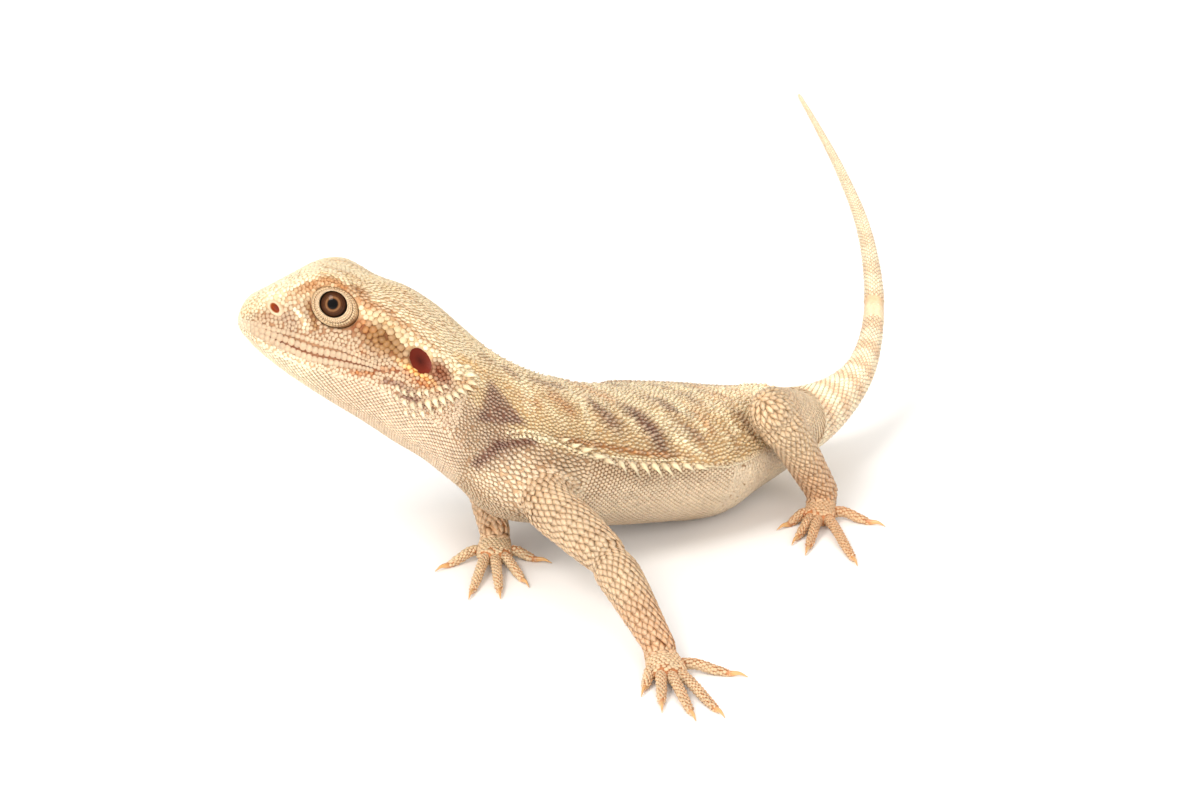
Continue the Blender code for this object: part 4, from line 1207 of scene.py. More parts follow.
def keep_apart(points, wide, rank, share=0.8):
    """Which points to keep so that no two stand closer than a share of their widths; low ranks go first."""
    i, j = neighbours(points, share * wide.max())
    close = np.linalg.norm(points[i] - points[j], axis=1) < 0.5 * share * (wide[i] + wide[j])
    i, j = i[close], j[close]
    left, chosen = np.ones(len(points), bool), np.zeros(len(points), bool)
    last = rank.max() + 1
    while left.any():
        best = np.full(len(points), last)
        np.minimum.at(best, i, np.where(left[j], rank[j], last))
        np.minimum.at(best, j, np.where(left[i], rank[i], last))
        new = left & (rank < best)
        chosen |= new
        left &= ~new
        left[i[new[j]]] = False
        left[j[new[i]]] = False
    return chosen


def surface_steps(place, s, t):
    """How the place moves for a step of one in each parameter."""
    return (place(s + 0.02, t) - place(s - 0.02, t)) / 0.04, (place(s, t + 0.02) - place(s, t - 0.02)) / 0.04


def even_width(wide):
    """A width that is the same for all parameters."""
    return lambda s, t: wide + 0 * s


def random_places(place, start, end, first, last, width, random, tries=6):
    """Random parameters, spread evenly over the surface with about `tries` places for each scale's area."""
    s, t = random.uniform(start, end, 90000), random.uniform(first, last, 90000)
    along, around = surface_steps(place, s, t)
    area = np.linalg.norm(np.cross(along, around), axis=-1) * (end - start) * (last - first) / len(s)
    kept = random.random(len(s)) < tries * area / width(s, t) ** 2
    return s[kept], t[kept]


PUSH_ROUNDS = 9  # how often scattered scales push each other apart


def scattered(place, start, end, width, seed, first=0.0, last=10.0):
    """Parameters of scales packed closely but irregularly over a surface.

    Random places are thinned until none has another within four fifths of a width; then they push each other
    apart along the surface. The third column is the room that each has, from the distance to its neighbours.
    """
    random = np.random.default_rng(seed)
    s, t = random_places(place, start, end, first, last, width, random)
    chosen = keep_apart(place(s, t), width(s, t), random.permutation(len(s)))
    s, t = s[chosen], t[chosen]
    for _ in range(PUSH_ROUNDS):
        points, wide = place(s, t), width(s, t)
        i, j = neighbours(points, 1.1 * wide.max())
        apart = points[i] - points[j]
        far = np.linalg.norm(apart, axis=1)
        push = (0.35 * np.maximum(0.525 * (wide[i] + wide[j]) - far, 0) / far)[:, None] * apart
        move = np.zeros_like(points)
        np.add.at(move, i, push)
        np.add.at(move, j, -push)
        along, around = surface_steps(place, s, t)
        # the step in the parameters whose move over the surface is nearest to the wanted one
        ss, st, tt = ((p * q).sum(1) for p, q in ((along, along), (along, around), (around, around)))
        on_s, on_t = (move * along).sum(1), (move * around).sum(1)
        s = np.clip(s + (tt * on_s - st * on_t) / (ss * tt - st ** 2), start, end)
        t = t + (ss * on_t - st * on_s) / (ss * tt - st ** 2)
        if last - first < 9.9:
            t = np.clip(t, first, last)
    points, wide = place(s, t), width(s, t)
    i, j = neighbours(points, 1.4 * wide.max())
    far = np.linalg.norm(points[i] - points[j], axis=1)
    near = far < 0.7 * (wide[i] + wide[j])
    total, many = 1.05 * wide, np.ones(len(s))
    for k in (i[near], j[near]):
        np.add.at(total, k, far[near])
        np.add.at(many, k, 1)
    return np.stack([s, np.mod(t, 10.0), total / many], -1)


JITTER = 0.06  # how much the scales' widths, lengths and heights vary, as a share


def coat(place, at, size, height, lift=0.0, limit=0.4, way=None, seed=0):
    """Where each scale sits: its root on the skin, and its across, tip and outward axes scaled to its size.

    The axes come from two more points beside the root, all three brought to the skin. Scales whose root moves
    more than `limit` mm are buried in another part of the body and are left out. `way` is where the tips
    point, if not along the surface's first parameter.
    """
    s, t = at[:, 0], at[:, 1]
    root = place(s, t)
    solid = unit(place(s, t, 0.3) - root)
    ahead = unit(place(s + 0.01, t) - place(s - 0.01, t)) if way is None else way
    ahead = unit(ahead - (ahead * solid).sum(-1, keepdims=True) * solid)
    beside = np.cross(solid, ahead)
    reach = 0.3
    found = on_skin(np.concatenate([root, root + reach * ahead, root + reach * beside])).reshape(3, -1, 3)
    kept = np.linalg.norm(found[0] - root, axis=1) < limit
    lie = unit(found[1] - found[0])
    out = turned_out(unit(np.cross(lie, found[2] - found[0])), solid)
    lie = unit(unit(lie - (lie * out).sum(-1, keepdims=True) * out) + lift * out)
    side = np.cross(lie, out)
    random = np.random.default_rng(seed)
    vary = 1 + JITTER * random.normal(0, 1, (len(s), 3))
    wide, long, high = (np.broadcast_to(one, s.shape) for one in (*size, height))
    return dict(root=found[0], side=side * (0.5 * wide * vary[:, 0])[:, None],
                lie=lie * (long * vary[:, 1])[:, None], out=out * (high * vary[:, 2])[:, None],
                kept=kept, at=at, random=random)


PATCH = 0.0013  # half the width of a scale's own patch of the colour map
# the tips' pale: partly the scales' own and partly a painted highlight on their keels and domes
TIP_AND_HIGHLIGHT_COLOUR = np.array((1.0, 0.93, 0.80))


def coat_mesh(name, sets, back_off):
    """One mesh of many scales, which lie `back_off` lengths behind their roots.

    Each set gives the scales' axes, shape, colour, gap colour and place on the unrolled skin. A scale's own
    map patch lies at its root's place.
    """
    points, faces, tones, maps, offset = [], [], [], [], 0
    for one in sets:
        shape, triangles, shade = scale_shape(one["kind"])
        root, side, lie, out, tone, gap, atlas = (
            one[key][one["kept"]] for key in ("root", "side", "lie", "out", "tone", "gap", "atlas"))
        count = len(root)
        x, y, z = (shape[:, k][None, :, None] for k in range(3))
        body = root[:, None] + x * side[:, None] + (y - back_off) * lie[:, None] + z * out[:, None]
        body[..., 2] = np.maximum(body[..., 2], FLOOR_CLEAR)
        vary = 1 + one.get("mottle", 0.06) * one["random"].normal(0, 1, (count, 1, 1))
        s = np.clip(shade, 0, 1)[None, :, None]
        # paler towards the tip: partly the scale's own pale tip, partly a painted highlight
        pale = np.clip(shade - 1, 0, 1)[None, :, None] * one.get("tip_pale_and_highlight", 1.5)
        tint = (gap[:, None] * (1 - s) + tone[:, None] * s) * vary
        tint = tint + pale * (TIP_AND_HIGHLIGHT_COLOUR - tint)
        points.append(body.reshape(-1, 3))
        tones.append(tint.reshape(-1, 3))
        firsts = (np.arange(count) * len(shape))[:, None, None] + offset
        faces.append((triangles[None] + firsts).reshape(-1, 3))
        patch = PATCH * np.stack([shape[:, 0], 2 * (shape[:, 1] - 0.5)], -1)
        maps.append((atlas[:, None] + patch[None]).reshape(-1, 2))
        offset += count * len(shape)
    points, faces, maps = np.concatenate(points), np.concatenate(faces), np.concatenate(maps)
    mesh = mesh_from_arrays(name, points, faces)
    paint(mesh, np.concatenate(tones))
    layer = mesh.uv_layers.new(name="OFBake")
    layer.uv.foreach_set("vector", maps[faces.ravel()].astype(np.float32).ravel())
    return mesh


def add_coat(name, sets, back_off=0.45):
    """Adds a finished piece of many scales."""
    add_piece(name, coat_mesh(name, sets, back_off), scale_material())


WHOLE_MAP = (0.01, 0.01, 0.99, 0.99)


def atlas_place(s, t, box, s_range, t_range):
    """The place of (s, t) in a box (left, bottom, right, top) of the unrolled skin's map."""
    left, bottom, right, top = box
    u = (s - s_range[0]) / (s_range[1] - s_range[0])
    v = (t - t_range[0]) / (t_range[1] - t_range[0])
    return np.stack([left + u * (right - left), bottom + v * (top - bottom)], -1)


def on_body(s, t, grow=0.0):
    """The place where the body's scales have their roots."""
    return body_at(s, t, grow - 0.2)


def body_set(at, size, height, kind, seed, box=WHOLE_MAP, s_range=None, t_range=(0, 10), tip_pale_and_highlight=1.5,
             mottle=0.06, lift=0.06, keep=None, limit=0.4):
    """A set of scales on the body's loft."""
    found = coat(on_body, at, size, height, lift=lift, seed=seed, limit=limit)
    s, t = at[:, 0], at[:, 1]
    found["kind"], found["tip_pale_and_highlight"], found["mottle"] = kind, tip_pale_and_highlight, mottle
    found["tone"] = body_colours(s, t)
    found["gap"] = body_gaps(s, t, found["tone"])
    span = s_range or (s.min(), s.max())
    found["atlas"] = atlas_place(s, np.mod(t - t_range[0], 10.0) + t_range[0], box, span, t_range)
    if keep is not None:
        found["kept"] = found["kept"] & keep
    return found


def face_clear(points):
    """True where a scale's root is clear of the eyelids, the eardrums and the nostrils."""
    clear = np.ones(len(points), bool)
    for side, _ in SIDES:
        share, height = lid_distance(points, side)
        clear &= (share > 1.02) | (height < 0)
        share, height = oval_distance(points, ear_frame(side), (EAR["long"], EAR["short"]))
        clear &= (share > 1.08) | (np.abs(height) > 4)
        share, height = oval_distance(points, nostril_frame(side), (1.30, 0.85))
        clear &= (share > 1) | (np.abs(height) > 2)
    return clear


class DRAGON_OT_head_scales(bpy.types.Operator):
    """Set the plates of the crown, muzzle, cheeks and temples"""

    bl_idname = "dragon.head_scales"
    bl_label = "Head scales"

    def execute(self, context):
        size = sizes()
        base = size["head_scale"]

        def width(a, r):
            v = side_of(r)
            temple = bell(a, 6.95, 0.95) * bell(v, 2.08, 0.42)
            behind_eye = bell(a, 7.0, 1.0) * bell(v, 1.62, 0.25)
            brow = bell(a, 4.9, 0.8) * bell(v, 1.25, 0.25)
            wide = base * (0.78 + 0.22 * ease(a, 1.0, 3.2)) * (1 - 0.17 * ease(v, 2.25, 2.6))
            wide = wide * (1 - 0.12 * ease(a, 7.8, 8.6) * ease(v, 1.4, 1.8))
            return wide * (1 + 0.42 * temple + 0.28 * behind_eye - 0.25 * brow)

        at = scattered(on_body, 0.12, 9.45, width, 11)
        s, r, room = at.T
        v = side_of(r)
        off_mouth = v - mouth_round(s)
        closing = 1 - 0.55 * ease(s, 5.6, 7.4)
        lip = (off_mouth > -0.31 * closing) & (off_mouth < 0.17 * closing) & (s < 7.3 + 2 * off_mouth)
        beard = v > 3.35 + 0.35 * ease(s, 5.0, 1.0)
        keep = face_clear(body_at(s, r)) & ~lip & ~beard
        cover = 1.00 + 0.12 * ease(room, 0.62, 0.85)
        rough = ease(s + 0.5 * ripple(s, r, 12), 5.2, 6.2) * (1 - ease(v, 1.1, 1.5)) > 0.5
        sets = [body_set(at, (cover * room, cover * room), 0.12 + 0.02 * ease(s, 4.5, 6.5), "plate", 21,
                         keep=keep & ~rough, s_range=(0, 9.5), mottle=0.05),
                body_set(at, (room, 1.35 * room), 0.17, "keeled", 22, keep=keep & rough, s_range=(0, 9.5),
                         mottle=0.07, lift=0.12, tip_pale_and_highlight=1.8)]
        add_coat("scales_head", sets)
        return {"FINISHED"}


class DRAGON_OT_lip_scales(bpy.types.Operator):
    """Set the rows of plates above and below the mouth line"""

    bl_idname = "dragon.lip_scales"
    bl_label = "Lip scales"

    def execute(self, context):
        wide = sizes()["lip_scale"]
        sets = []
        # rows: how far off the mouth line, the plates' shares of the width and the height, where they end
        rows = ((-0.104, 1.00, 0.90, 7.4), (-0.262, 0.80, 0.62, 7.0), (0.104, 0.92, 0.84, 6.9))
        for number, (offset, share, tall, end) in enumerate(rows):
            for side, _ in SIDES:
                a = np.linspace(0.35, end, 700)
                closing = (1.2 - 0.2 * ease(a, 1.0, 3.0)) * (1 - 0.5 * ease(a, 5.6, 7.2))
                v = mouth_round(a) + offset * closing
                steps = np.linalg.norm(np.diff(body_at(a, on_side(v, side)), axis=0), axis=1)
                taper = 0.60 + 0.40 * ease(a, 0.6, 2.8) - 0.42 * ease(a, 5.4, 7.2)
                count = np.concatenate([[0], np.cumsum(steps / (wide * share * taper[1:]))])
                s = np.interp(np.arange(0.5 + 0.5 * (number % 2), count[-1], 1.0), count, a)
                v, taper = np.interp(s, a, v), np.interp(s, a, taper)
                at = np.stack([s, on_side(v, side), 0 * s], -1)
                one = body_set(at, (1.02 * wide * tall * taper, 0.96 * wide * share * taper), 0.17, "lip",
                               31 + number, s_range=(0, 9.4), lift=0.0, mottle=0.04)
                one["gap"] = mix(one["gap"], colours()["rust"] * (0.6, 0.4, 0.35), np.full(len(s), 0.75))
                sets.append(one)
        add_coat("scales_lips", sets)
        return {"FINISHED"}


class DRAGON_OT_neck_scales(bpy.types.Operator):
    """Set the fine scales of the beard, throat and neck"""

    bl_idname = "dragon.neck_scales"
    bl_label = "Neck and beard scales"

    def execute(self, context):
        size = sizes()
        sets = []
        wide = size["beard_scale"]
        at = staggered_rows(on_body, 0.8, 9.9, 0.74 * wide, wide, 3.3, 6.7, closed=False)
        v = side_of(at[:, 1])
        keep = v > 3.30 + 0.35 * ease(at[:, 0], 5.0, 1.0)
        sets.append(body_set(at, (wide, 1.35 * wide), 0.16, "keeled", 41, keep=keep, s_range=(0, 12),
                             tip_pale_and_highlight=2.0, mottle=0.08, lift=0.10))
        base = size["neck_scale"]

        def width(a, r):
            v = side_of(r)
            shoulder = bell(a, 11.15, 0.65) * bell(v, 3.1, 0.75)
            return base * (1 + 0.30 * (1 - ease(v, 0.6, 1.2)) + shoulder)

        at = scattered(on_body, 9.3, 11.85, width, 43)
        s, room, v = at[:, 0], at[:, 2], side_of(at[:, 1])
        keep = (v < 3.3) | (s > 9.9)
        high = 0.16 + 0.1 * (room - base)
        sets.append(body_set(at, (1.02 * room, 1.22 * room), high, "keeled", 42, keep=keep, s_range=(0, 12),
                             mottle=0.07, tip_pale_and_highlight=1.8, limit=0.9))
        add_coat("scales_neck", sets)
        return {"FINISHED"}


class DRAGON_OT_trunk_scales(bpy.types.Operator):
    """Set the keeled scales of the back and the even ones of the flanks and belly"""

    bl_idname = "dragon.trunk_scales"
    bl_label = "Trunk scales"

    def execute(self, context):
        size = sizes()
        backs = []
        for side, first, last in ((1, 0.0, 2.03), (-1, 7.97, 10.0)):
            at = scattered(on_body, 11.8, 17.45, even_width(size["back_scale"]), 51 + side, first, last)
            room = at[:, 2]
            large = 1 + 0.35 * (np.random.default_rng(54 + side).random(len(at)) > 0.85)
            wide, long = 0.88 * room * large, 1.15 * room * large
            backs.append(body_set(at, (wide, long), 0.18 * large ** 2, "keeled", 52 + side, mottle=0.10,
                                  tip_pale_and_highlight=2.2, lift=0.14, s_range=(11.7, 17.5), limit=0.9))
        add_coat("scales_back", backs)
        wide = size["belly_scale"]
        even = staggered_rows(on_body, 11.8, 14.6, 0.86 * wide, wide, 2.05, 7.95, closed=False)
        loose = scattered(on_body, 14.55, 17.4, even_width(0.90 * wide), 56, 2.02, 7.98)
        bellies = []
        for at, span, cover, left in ((even, (11.7, 14.7), 0.90, 0.01), (loose, (14.6, 17.5), 1.22, 0.51)):
            bellies.append(body_set(at, (cover * wide, cover * wide), 0.18, "plate", 53, t_range=(1.9, 8.1),
                                    lift=0.05, tip_pale_and_highlight=6.0, limit=0.9, box=(left, 0.01, left + 0.48, 0.99),
                                    s_range=span))
        add_coat("scales_belly", bellies)
        return {"FINISHED"}


class DRAGON_OT_tail_scales(bpy.types.Operator):
    """Set the keeled scales of the tail, smaller towards its tip"""

    bl_idname = "dragon.tail_scales"
    bl_label = "Tail scales"

    def execute(self, context):
        root = sizes()["tail_scale"]

        def width(a, r=0.0):
            return root * (1 - 0.25 * ease(a, 18.0, 20.0) - 0.30 * ease(a, 20.0, 25.5)) + 0 * r

        at = staggered_rows(on_body, 17.35, 25.93, lambda a: 0.85 * width(a), width)
        wide = width(at[:, 0])
        tail = body_set(at, (1.04 * wide, 1.35 * wide), 0.24 * wide, "keeled", 61, mottle=0.05, tip_pale_and_highlight=1.6,
                        lift=0.08)
        add_coat("scales_tail", [tail])
        return {"FINISHED"}


FILLERS_LAST = 100000  # added to the rank of a scale that only fills what the rows leave bare
LEG_APART = 0.7  # least distance between a leg's scales, as a share of their width


def tube_set(tube, start, end, wide, height, tones, box, seed, grow, way=None, limit=0.45, lift=0.08,
             kind="keeled", broad=1.34, long=1.70, rows_from=0.0, rows_to=9.0, small_to=-2.0):
    """Scales of one tube in staggered rows, then random places that may fill what stays bare.

    The rows stand from `rows_from` to `rows_to` along the tube. Down to `small_to` the scales have their
    full size; nearer to the hip they are shorter and lie flatter.
    """
    def place(s, t, more=0.0):
        return tube.at(s, t, grow + more)

    turn = 2 * math.pi
    rows = staggered_rows(place, max(start, rows_from), min(end, tube.last, rows_to), 0.80 * wide, wide,
                          0.0, turn)
    random = np.random.default_rng(seed)
    s, t = random_places(place, start, end, 0.0, turn, even_width(wide), random, tries=9)
    at = np.concatenate([rows, np.stack([s, t, 0 * s], -1)])
    s, t = at[:, 0], at[:, 1]
    less = ease(s, small_to, small_to - 1.4)
    size = (broad * wide * (1 - 0.1 * less), long * wide * (1 - 0.32 * less))
    found = coat(place, at, size, height * (1 - 0.4 * less), lift=lift, limit=limit, seed=seed,
                 way=None if way is None else way(s))
    found["kind"], found["tip_pale_and_highlight"], found["wide"] = kind, 1.5, np.full(len(at), wide)
    filler = np.arange(len(at)) >= len(rows)
    found["rank"] = FILLERS_LAST * filler + np.arange(len(at)) + 1000 * seed
    found["tone"], found["gap"] = tones(s, t)
    found["atlas"] = atlas_place(s, np.mod(t, turn), box, (start, end), (0, turn))
    return found


def settle(sets):
    """Leaves out scales of all the sets that would stand too close to one that comes before them."""
    kept = [one["kept"] for one in sets]
    points, wide, rank = (np.concatenate([one[key][k] for one, k in zip(sets, kept)])
                          for key in ("root", "wide", "rank"))
    chosen = keep_apart(points, wide, np.argsort(np.argsort(rank, kind="stable")), LEG_APART)
    start = 0
    for one, k in zip(sets, kept):
        one["kept"] = k.copy()
        one["kept"][k] = chosen[start:start + k.sum()]
        start += k.sum()
    return sets


def way_along(tube, s):
    """The tube's own direction at places along it."""
    s = np.clip(s, 0, tube.last)
    return unit(spline(tube.path, s + 0.01) - spline(tube.path, s - 0.01))


class DRAGON_OT_leg_scales(bpy.types.Operator):
    """Set the keeled scales of the legs and the small ones of hands and feet"""

    bl_idname = "dragon.leg_scales"
    bl_label = "Leg scales"

    def execute(self, context):
        size, c = sizes(), colours()
        grow = -size["coat"]
        for seed, name in enumerate(LEGS, start=70):
            upper, lower, palm, toes = LEG_TUBES[name]
            which, side = name.split("_")

            def upper_tones(s, t):
                tone = leg_colours(s, t, name)
                # painted light near the hip: scales and gaps lighter there, against the shade between its short
                # scales
                near_hip = ease(s, 3.0, 1.6) if which == "hind" else 0 * s
                tone = mix(tone, tone * (1.14, 1.20, 1.26), near_hip)
                return tone, mix(tone * LEG_GAP, tone * (0.92, 0.86, 0.80), near_hip)

            def lower_tones(s, t):
                tone = leg_colours(s + 3, t, name)
                tone = mix(tone, c["foot"], 0.5 * ease(s, 1.8, 3.0)) * (0.94 if which == "hind" else 1.0)
                return tone, mix(tone * LEG_GAP, c["gap"], 0.8 * ease(s, 2.0, 3.2))

            def foot_tones(s, t):
                pale = np.full(len(s), 0.55 if which == "fore" else 0.38)
                tone = mix(c["foot"], c["band"], pale) * (1 + 0.05 * ripple(s, t, seed))[:, None]
                # half of the leg's painted light and shade
                return tone * (0.5 + 0.5 * np.array(LEG_PAINTED_LIGHT[name])), c["gap"] + 0 * tone

            # at the elbow or knee the tips turn from the upper part's way to the lower part's
            def upper_way(s):
                share = 0.5 * ease(s, 2.3, 3.2) if which == "fore" else 0.45 + 0.55 * ease(s, 0.8, 2.4)
                return mix(way_along(upper, s), way_along(lower, 0.5 + 0 * s), share)

            def lower_way(s):
                share = 0.5 * (1 - ease(s, -0.4, 0.7)) if which == "fore" else 0 * s
                return mix(way_along(lower, np.maximum(s, 0)), way_along(upper, 3 + 0 * s), share)

            wide = size["limb_scale"] * (1.08 if which == "fore" else 0.95)
            first = {"hind_left": -0.6, "hind_right": 0.1}.get(name, 0.0)  # where the leg leaves the body
            hip = {} if which == "fore" else dict(rows_to=3.1, small_to=2.6)
            sets = [tube_set(upper, first, 3.97, wide, 0.20, upper_tones, (0.01, 0.01, 0.49, 0.99), seed,
                             grow, upper_way, limit=0.8, rows_from=0.8, **hip),
                    tube_set(lower, -0.97, 3.9, 0.92 * wide, 0.19, lower_tones, (0.51, 0.01, 0.99, 0.99),
                             seed + 10, grow, lower_way, limit=0.7)]
            label = f"scales_{'foreleg' if which == 'fore' else 'hindleg'}_{side}"
            add_coat(label, settle(sets))
            wide = size["toe_scale"]
            round_ones = dict(kind="plate", broad=0.98, long=1.06, lift=0.05)
            sets = [tube_set(palm, -0.97, 2.97, 1.2 * wide, 0.13, foot_tones, (0.01, 0.01, 0.32, 0.99),
                             seed + 20, PALM_COAT * grow, **round_ones)]
            for number, (toe, _) in enumerate(toes):
                left = 0.34 + 0.13 * number
                box = (left, 0.01, left + 0.12, 0.99)
                sets.append(tube_set(toe, 0.0, 3.9, wide, 0.12, foot_tones, box, seed + 30 + number,
                                     TOE_COAT * grow, limit=0.3, **round_ones))
            label = f"scales_{PART_NAMES[which][2]}_{side}"
            add_coat(label, settle(sets))
        return {"FINISHED"}


# ---- spines ----
# rows of spines: from (along, round) to (along, round), how many, length in mm at both ends, half-width, how
# far they stand off the skin, and how far they lean from the tail's way to the floor's
SPINE_ROWS = (
    (10.28, 2.26, 10.50, 2.00, 3, 0.45, 0.50, 0.32, 0.7, 0.3),  # over the shoulder's fold
    (10.54, 1.96, 10.82, 1.84, 4, 0.55, 0.60, 0.36, 0.8, 0.1),
    (10.40, 2.28, 10.62, 2.06, 4, 0.42, 0.46, 0.32, 0.7, 0.2),
    (10.66, 2.02, 10.98, 1.92, 4, 0.46, 0.52, 0.34, 0.7, 0.1),
    (11.05, 1.90, 11.80, 2.10, 8, 0.60, 0.90, 0.34, 0.4, 0.2),  # along the flank
    (12.12, 2.00, 13.55, 1.87, 18, 0.55, 0.50, 0.26, 0.5, 0.4),
    (13.85, 2.07, 14.35, 2.17, 9, 0.60, 0.55, 0.22, 0.3, 0.2),
    (14.35, 2.17, 15.20, 2.06, 15, 0.55, 0.45, 0.20, 0.3, 0.1),
    (9.20, 0.34, 16.50, 0.34, 34, 0.42, 0.40, 0.26, 0.55, 0.0),  # low crests along the back
    (10.20, 0.85, 16.20, 0.85, 28, 0.42, 0.38, 0.26, 0.55, 0.0),
    (10.60, 1.35, 15.00, 1.35, 22, 0.40, 0.36, 0.25, 0.55, 0.0),
)
CREST_ROWS = 8  # rows from this one on are the low crests of the back
# single spines of the flank: along, round, length as a share of the longest, half-width, stand, lean
FLANK_SPINES = (
    (11.26, 1.86, 0.55, 0.32, 0.90, -0.5), (11.44, 1.94, 0.62, 0.34, 0.80, -0.4),
    (11.62, 2.00, 0.70, 0.36, 0.60, -0.3), (11.82, 2.08, 1.05, 0.40, 0.45, 0.0),
    (12.04, 2.10, 0.75, 0.38, 0.40, 0.6), (12.30, 2.05, 0.90, 0.40, 0.60, 9.0),
    (12.50, 2.04, 1.00, 0.42, 0.60, 7.0), (12.70, 2.01, 0.97, 0.38, 0.60, 7.0),
    (12.89, 1.98, 0.95, 0.42, 0.60, 5.0), (13.08, 1.98, 1.00, 0.40, 0.50, 3.2),
    (13.27, 1.96, 0.95, 0.40, 0.50, 2.6), (13.48, 1.98, 0.90, 0.38, 0.40, 1.4),
    (13.70, 2.04, 0.80, 0.36, 0.30, 0.5),
)
# single spines of the head's rear corner and the beard's edge: along, round, length, half-width, stand, lean
HEAD_SPINES = (
    (9.28, 1.22, 0.95, 0.38, 0.35, 0.0), (9.36, 1.42, 1.35, 0.44, 0.30, 0.0),
    (9.42, 1.62, 1.45, 0.45, 0.30, 0.1), (9.36, 1.84, 1.30, 0.44, 0.35, 0.2),
    (9.28, 2.06, 1.15, 0.42, 0.35, 0.4), (9.14, 1.36, 0.80, 0.38, 0.45, 0.0),
    (9.18, 1.58, 0.90, 0.40, 0.45, 0.0), (9.16, 1.80, 0.90, 0.40, 0.40, 0.1),
    (9.20, 2.28, 1.15, 0.42, 0.35, 0.5), (9.10, 2.48, 1.20, 0.44, 0.35, 0.6),
    (8.98, 2.68, 1.25, 0.45, 0.35, 0.7), (8.84, 2.86, 1.25, 0.45, 0.35, 0.8),
    (8.68, 3.03, 1.25, 0.45, 0.35, 0.9), (8.48, 3.17, 1.15, 0.43, 0.35, 0.8),
    (8.24, 3.26, 1.05, 0.41, 0.35, 0.7), (8.00, 3.30, 0.95, 0.39, 0.30, 0.6),
    (7.76, 3.30, 0.85, 0.37, 0.30, 0.5), (7.52, 3.27, 0.80, 0.36, 0.30, 0.4),
    (7.28, 3.24, 0.70, 0.34, 0.25, 0.3), (8.98, 2.30, 0.85, 0.38, 0.35, 0.4),
    (8.86, 2.48, 0.90, 0.39, 0.35, 0.5), (8.72, 2.66, 0.90, 0.39, 0.35, 0.6),
    (8.56, 2.82, 0.90, 0.39, 0.35, 0.6), (8.36, 2.97, 0.85, 0.38, 0.35, 0.6),
    (8.14, 3.08, 0.80, 0.37, 0.30, 0.5), (7.92, 3.13, 0.75, 0.36, 0.30, 0.5),
    (7.70, 3.13, 0.70, 0.34, 0.30, 0.4), (8.62, 3.30, 0.95, 0.38, 0.30, 0.7),
    (8.38, 3.42, 0.90, 0.37, 0.30, 0.6), (8.12, 3.46, 0.80, 0.36, 0.30, 0.5),
    (8.86, 3.16, 0.90, 0.38, 0.30, 0.7), (9.02, 2.96, 0.85, 0.37, 0.30, 0.6),
)


class DRAGON_OT_spines(bpy.types.Operator):
    """Set the spines of the flanks, the beard's edge, the head's rear corners and the shoulder"""

    bl_idname = "dragon.spines"
    bl_label = "Spines"

    def execute(self, context):
        c = colours()
        sets, rows = [], []
        for number, (a0, v0, a1, v1, many, first, last, half, stand, lean) in enumerate(SPINE_ROWS):
            share = (np.arange(many) + 0.5) / many
            columns = (a0 + share * (a1 - a0), v0 + share * (v1 - v0), first + share * (last - first),
                       half, stand, lean, number)
            rows.append(np.stack(np.broadcast_arrays(*columns), -1))
        flank = np.array(FLANK_SPINES) * (1, 1, sizes()["spine_length"], 1.45, 1, 1)
        single = np.concatenate([np.array(HEAD_SPINES) * (1, 1, 1.10, 1.25, 1, 1), flank])
        rows.append(np.concatenate([single, np.full((len(single), 1), -1.0)], axis=1))
        for side, _ in SIDES:
            s, v, reach, half, stand, lean, number = np.concatenate(rows).T
            t = on_side(v, side)
            many = len(s)
            found = coat(on_body, np.stack([s, t, 0 * s], -1), (2 * half, 1.0), 1.0, limit=1.0, seed=90)
            out, back = unit(found["out"]), unit(found["lie"])
            drop = unit(np.array((0.0, 0.0, -1.0)) + out[:, 2:] * out)
            vary = 1 + 0.10 * found["random"].normal(0, 1, (many, 1))
            point = unit(back + stand[:, None] * out + lean[:, None] * drop)
            across = unit(np.cross(point, out))
            rise = turned_out(unit(np.cross(across, point)), out)
            found["lie"], found["side"] = point * reach[:, None] * vary, across * half[:, None]
            found["out"] = rise * half[:, None]
            found["kind"], found["tip_pale_and_highlight"] = "spine", 1.0
            found["tone"] = mix(body_colours(s, t), c["band"], np.where(number >= CREST_ROWS, 0.30, 0.58))
            found["gap"] = mix(found["tone"] * 0.8, c["temple"], np.full(many, 0.35))
            found["atlas"] = atlas_place(s, t, WHOLE_MAP, (7, 17), (0, 10))
            sets.append(found)
        add_coat("spines", sets, back_off=0.15)
        return {"FINISHED"}


# ---- eyes, lids, ears and nostrils ----
def eye_tones(lean, turn):
    """Colours of the eye by the angle from its axis: pupil, golden ring, brown ring, dark edge."""
    c = colours()
    streak = 0.10 * np.cos(23 * turn + 2 * np.sin(5 * turn)) + 0.07 * np.cos(41 * turn + 1.0)
    degrees = np.degrees(lean)
    dark = np.array(srgb(6, 4, 4))
    brown = np.array(srgb(62, 34, 20))
    tone = c["iris"] * (1 + streak)[..., None]
    tone = mix(dark + 0 * tone, tone, ease(degrees, 12.5, 14.5))
    tone = mix(tone, np.array(srgb(146, 106, 72)), 0.62 * bell(degrees, 17.0, 2.8))
    tone = mix(tone, brown * 1.1, 0.75 * bell(degrees, 21.5, 1.4))
    tone = mix(tone, brown * 0.8, ease(degrees, 22.5, 26.0))
    tone = mix(tone, c["iris"] * 0.8, 0.5 * bell(degrees, 28.5, 1.8))
    return mix(tone, dark, ease(degrees, 30.5, 35.0))


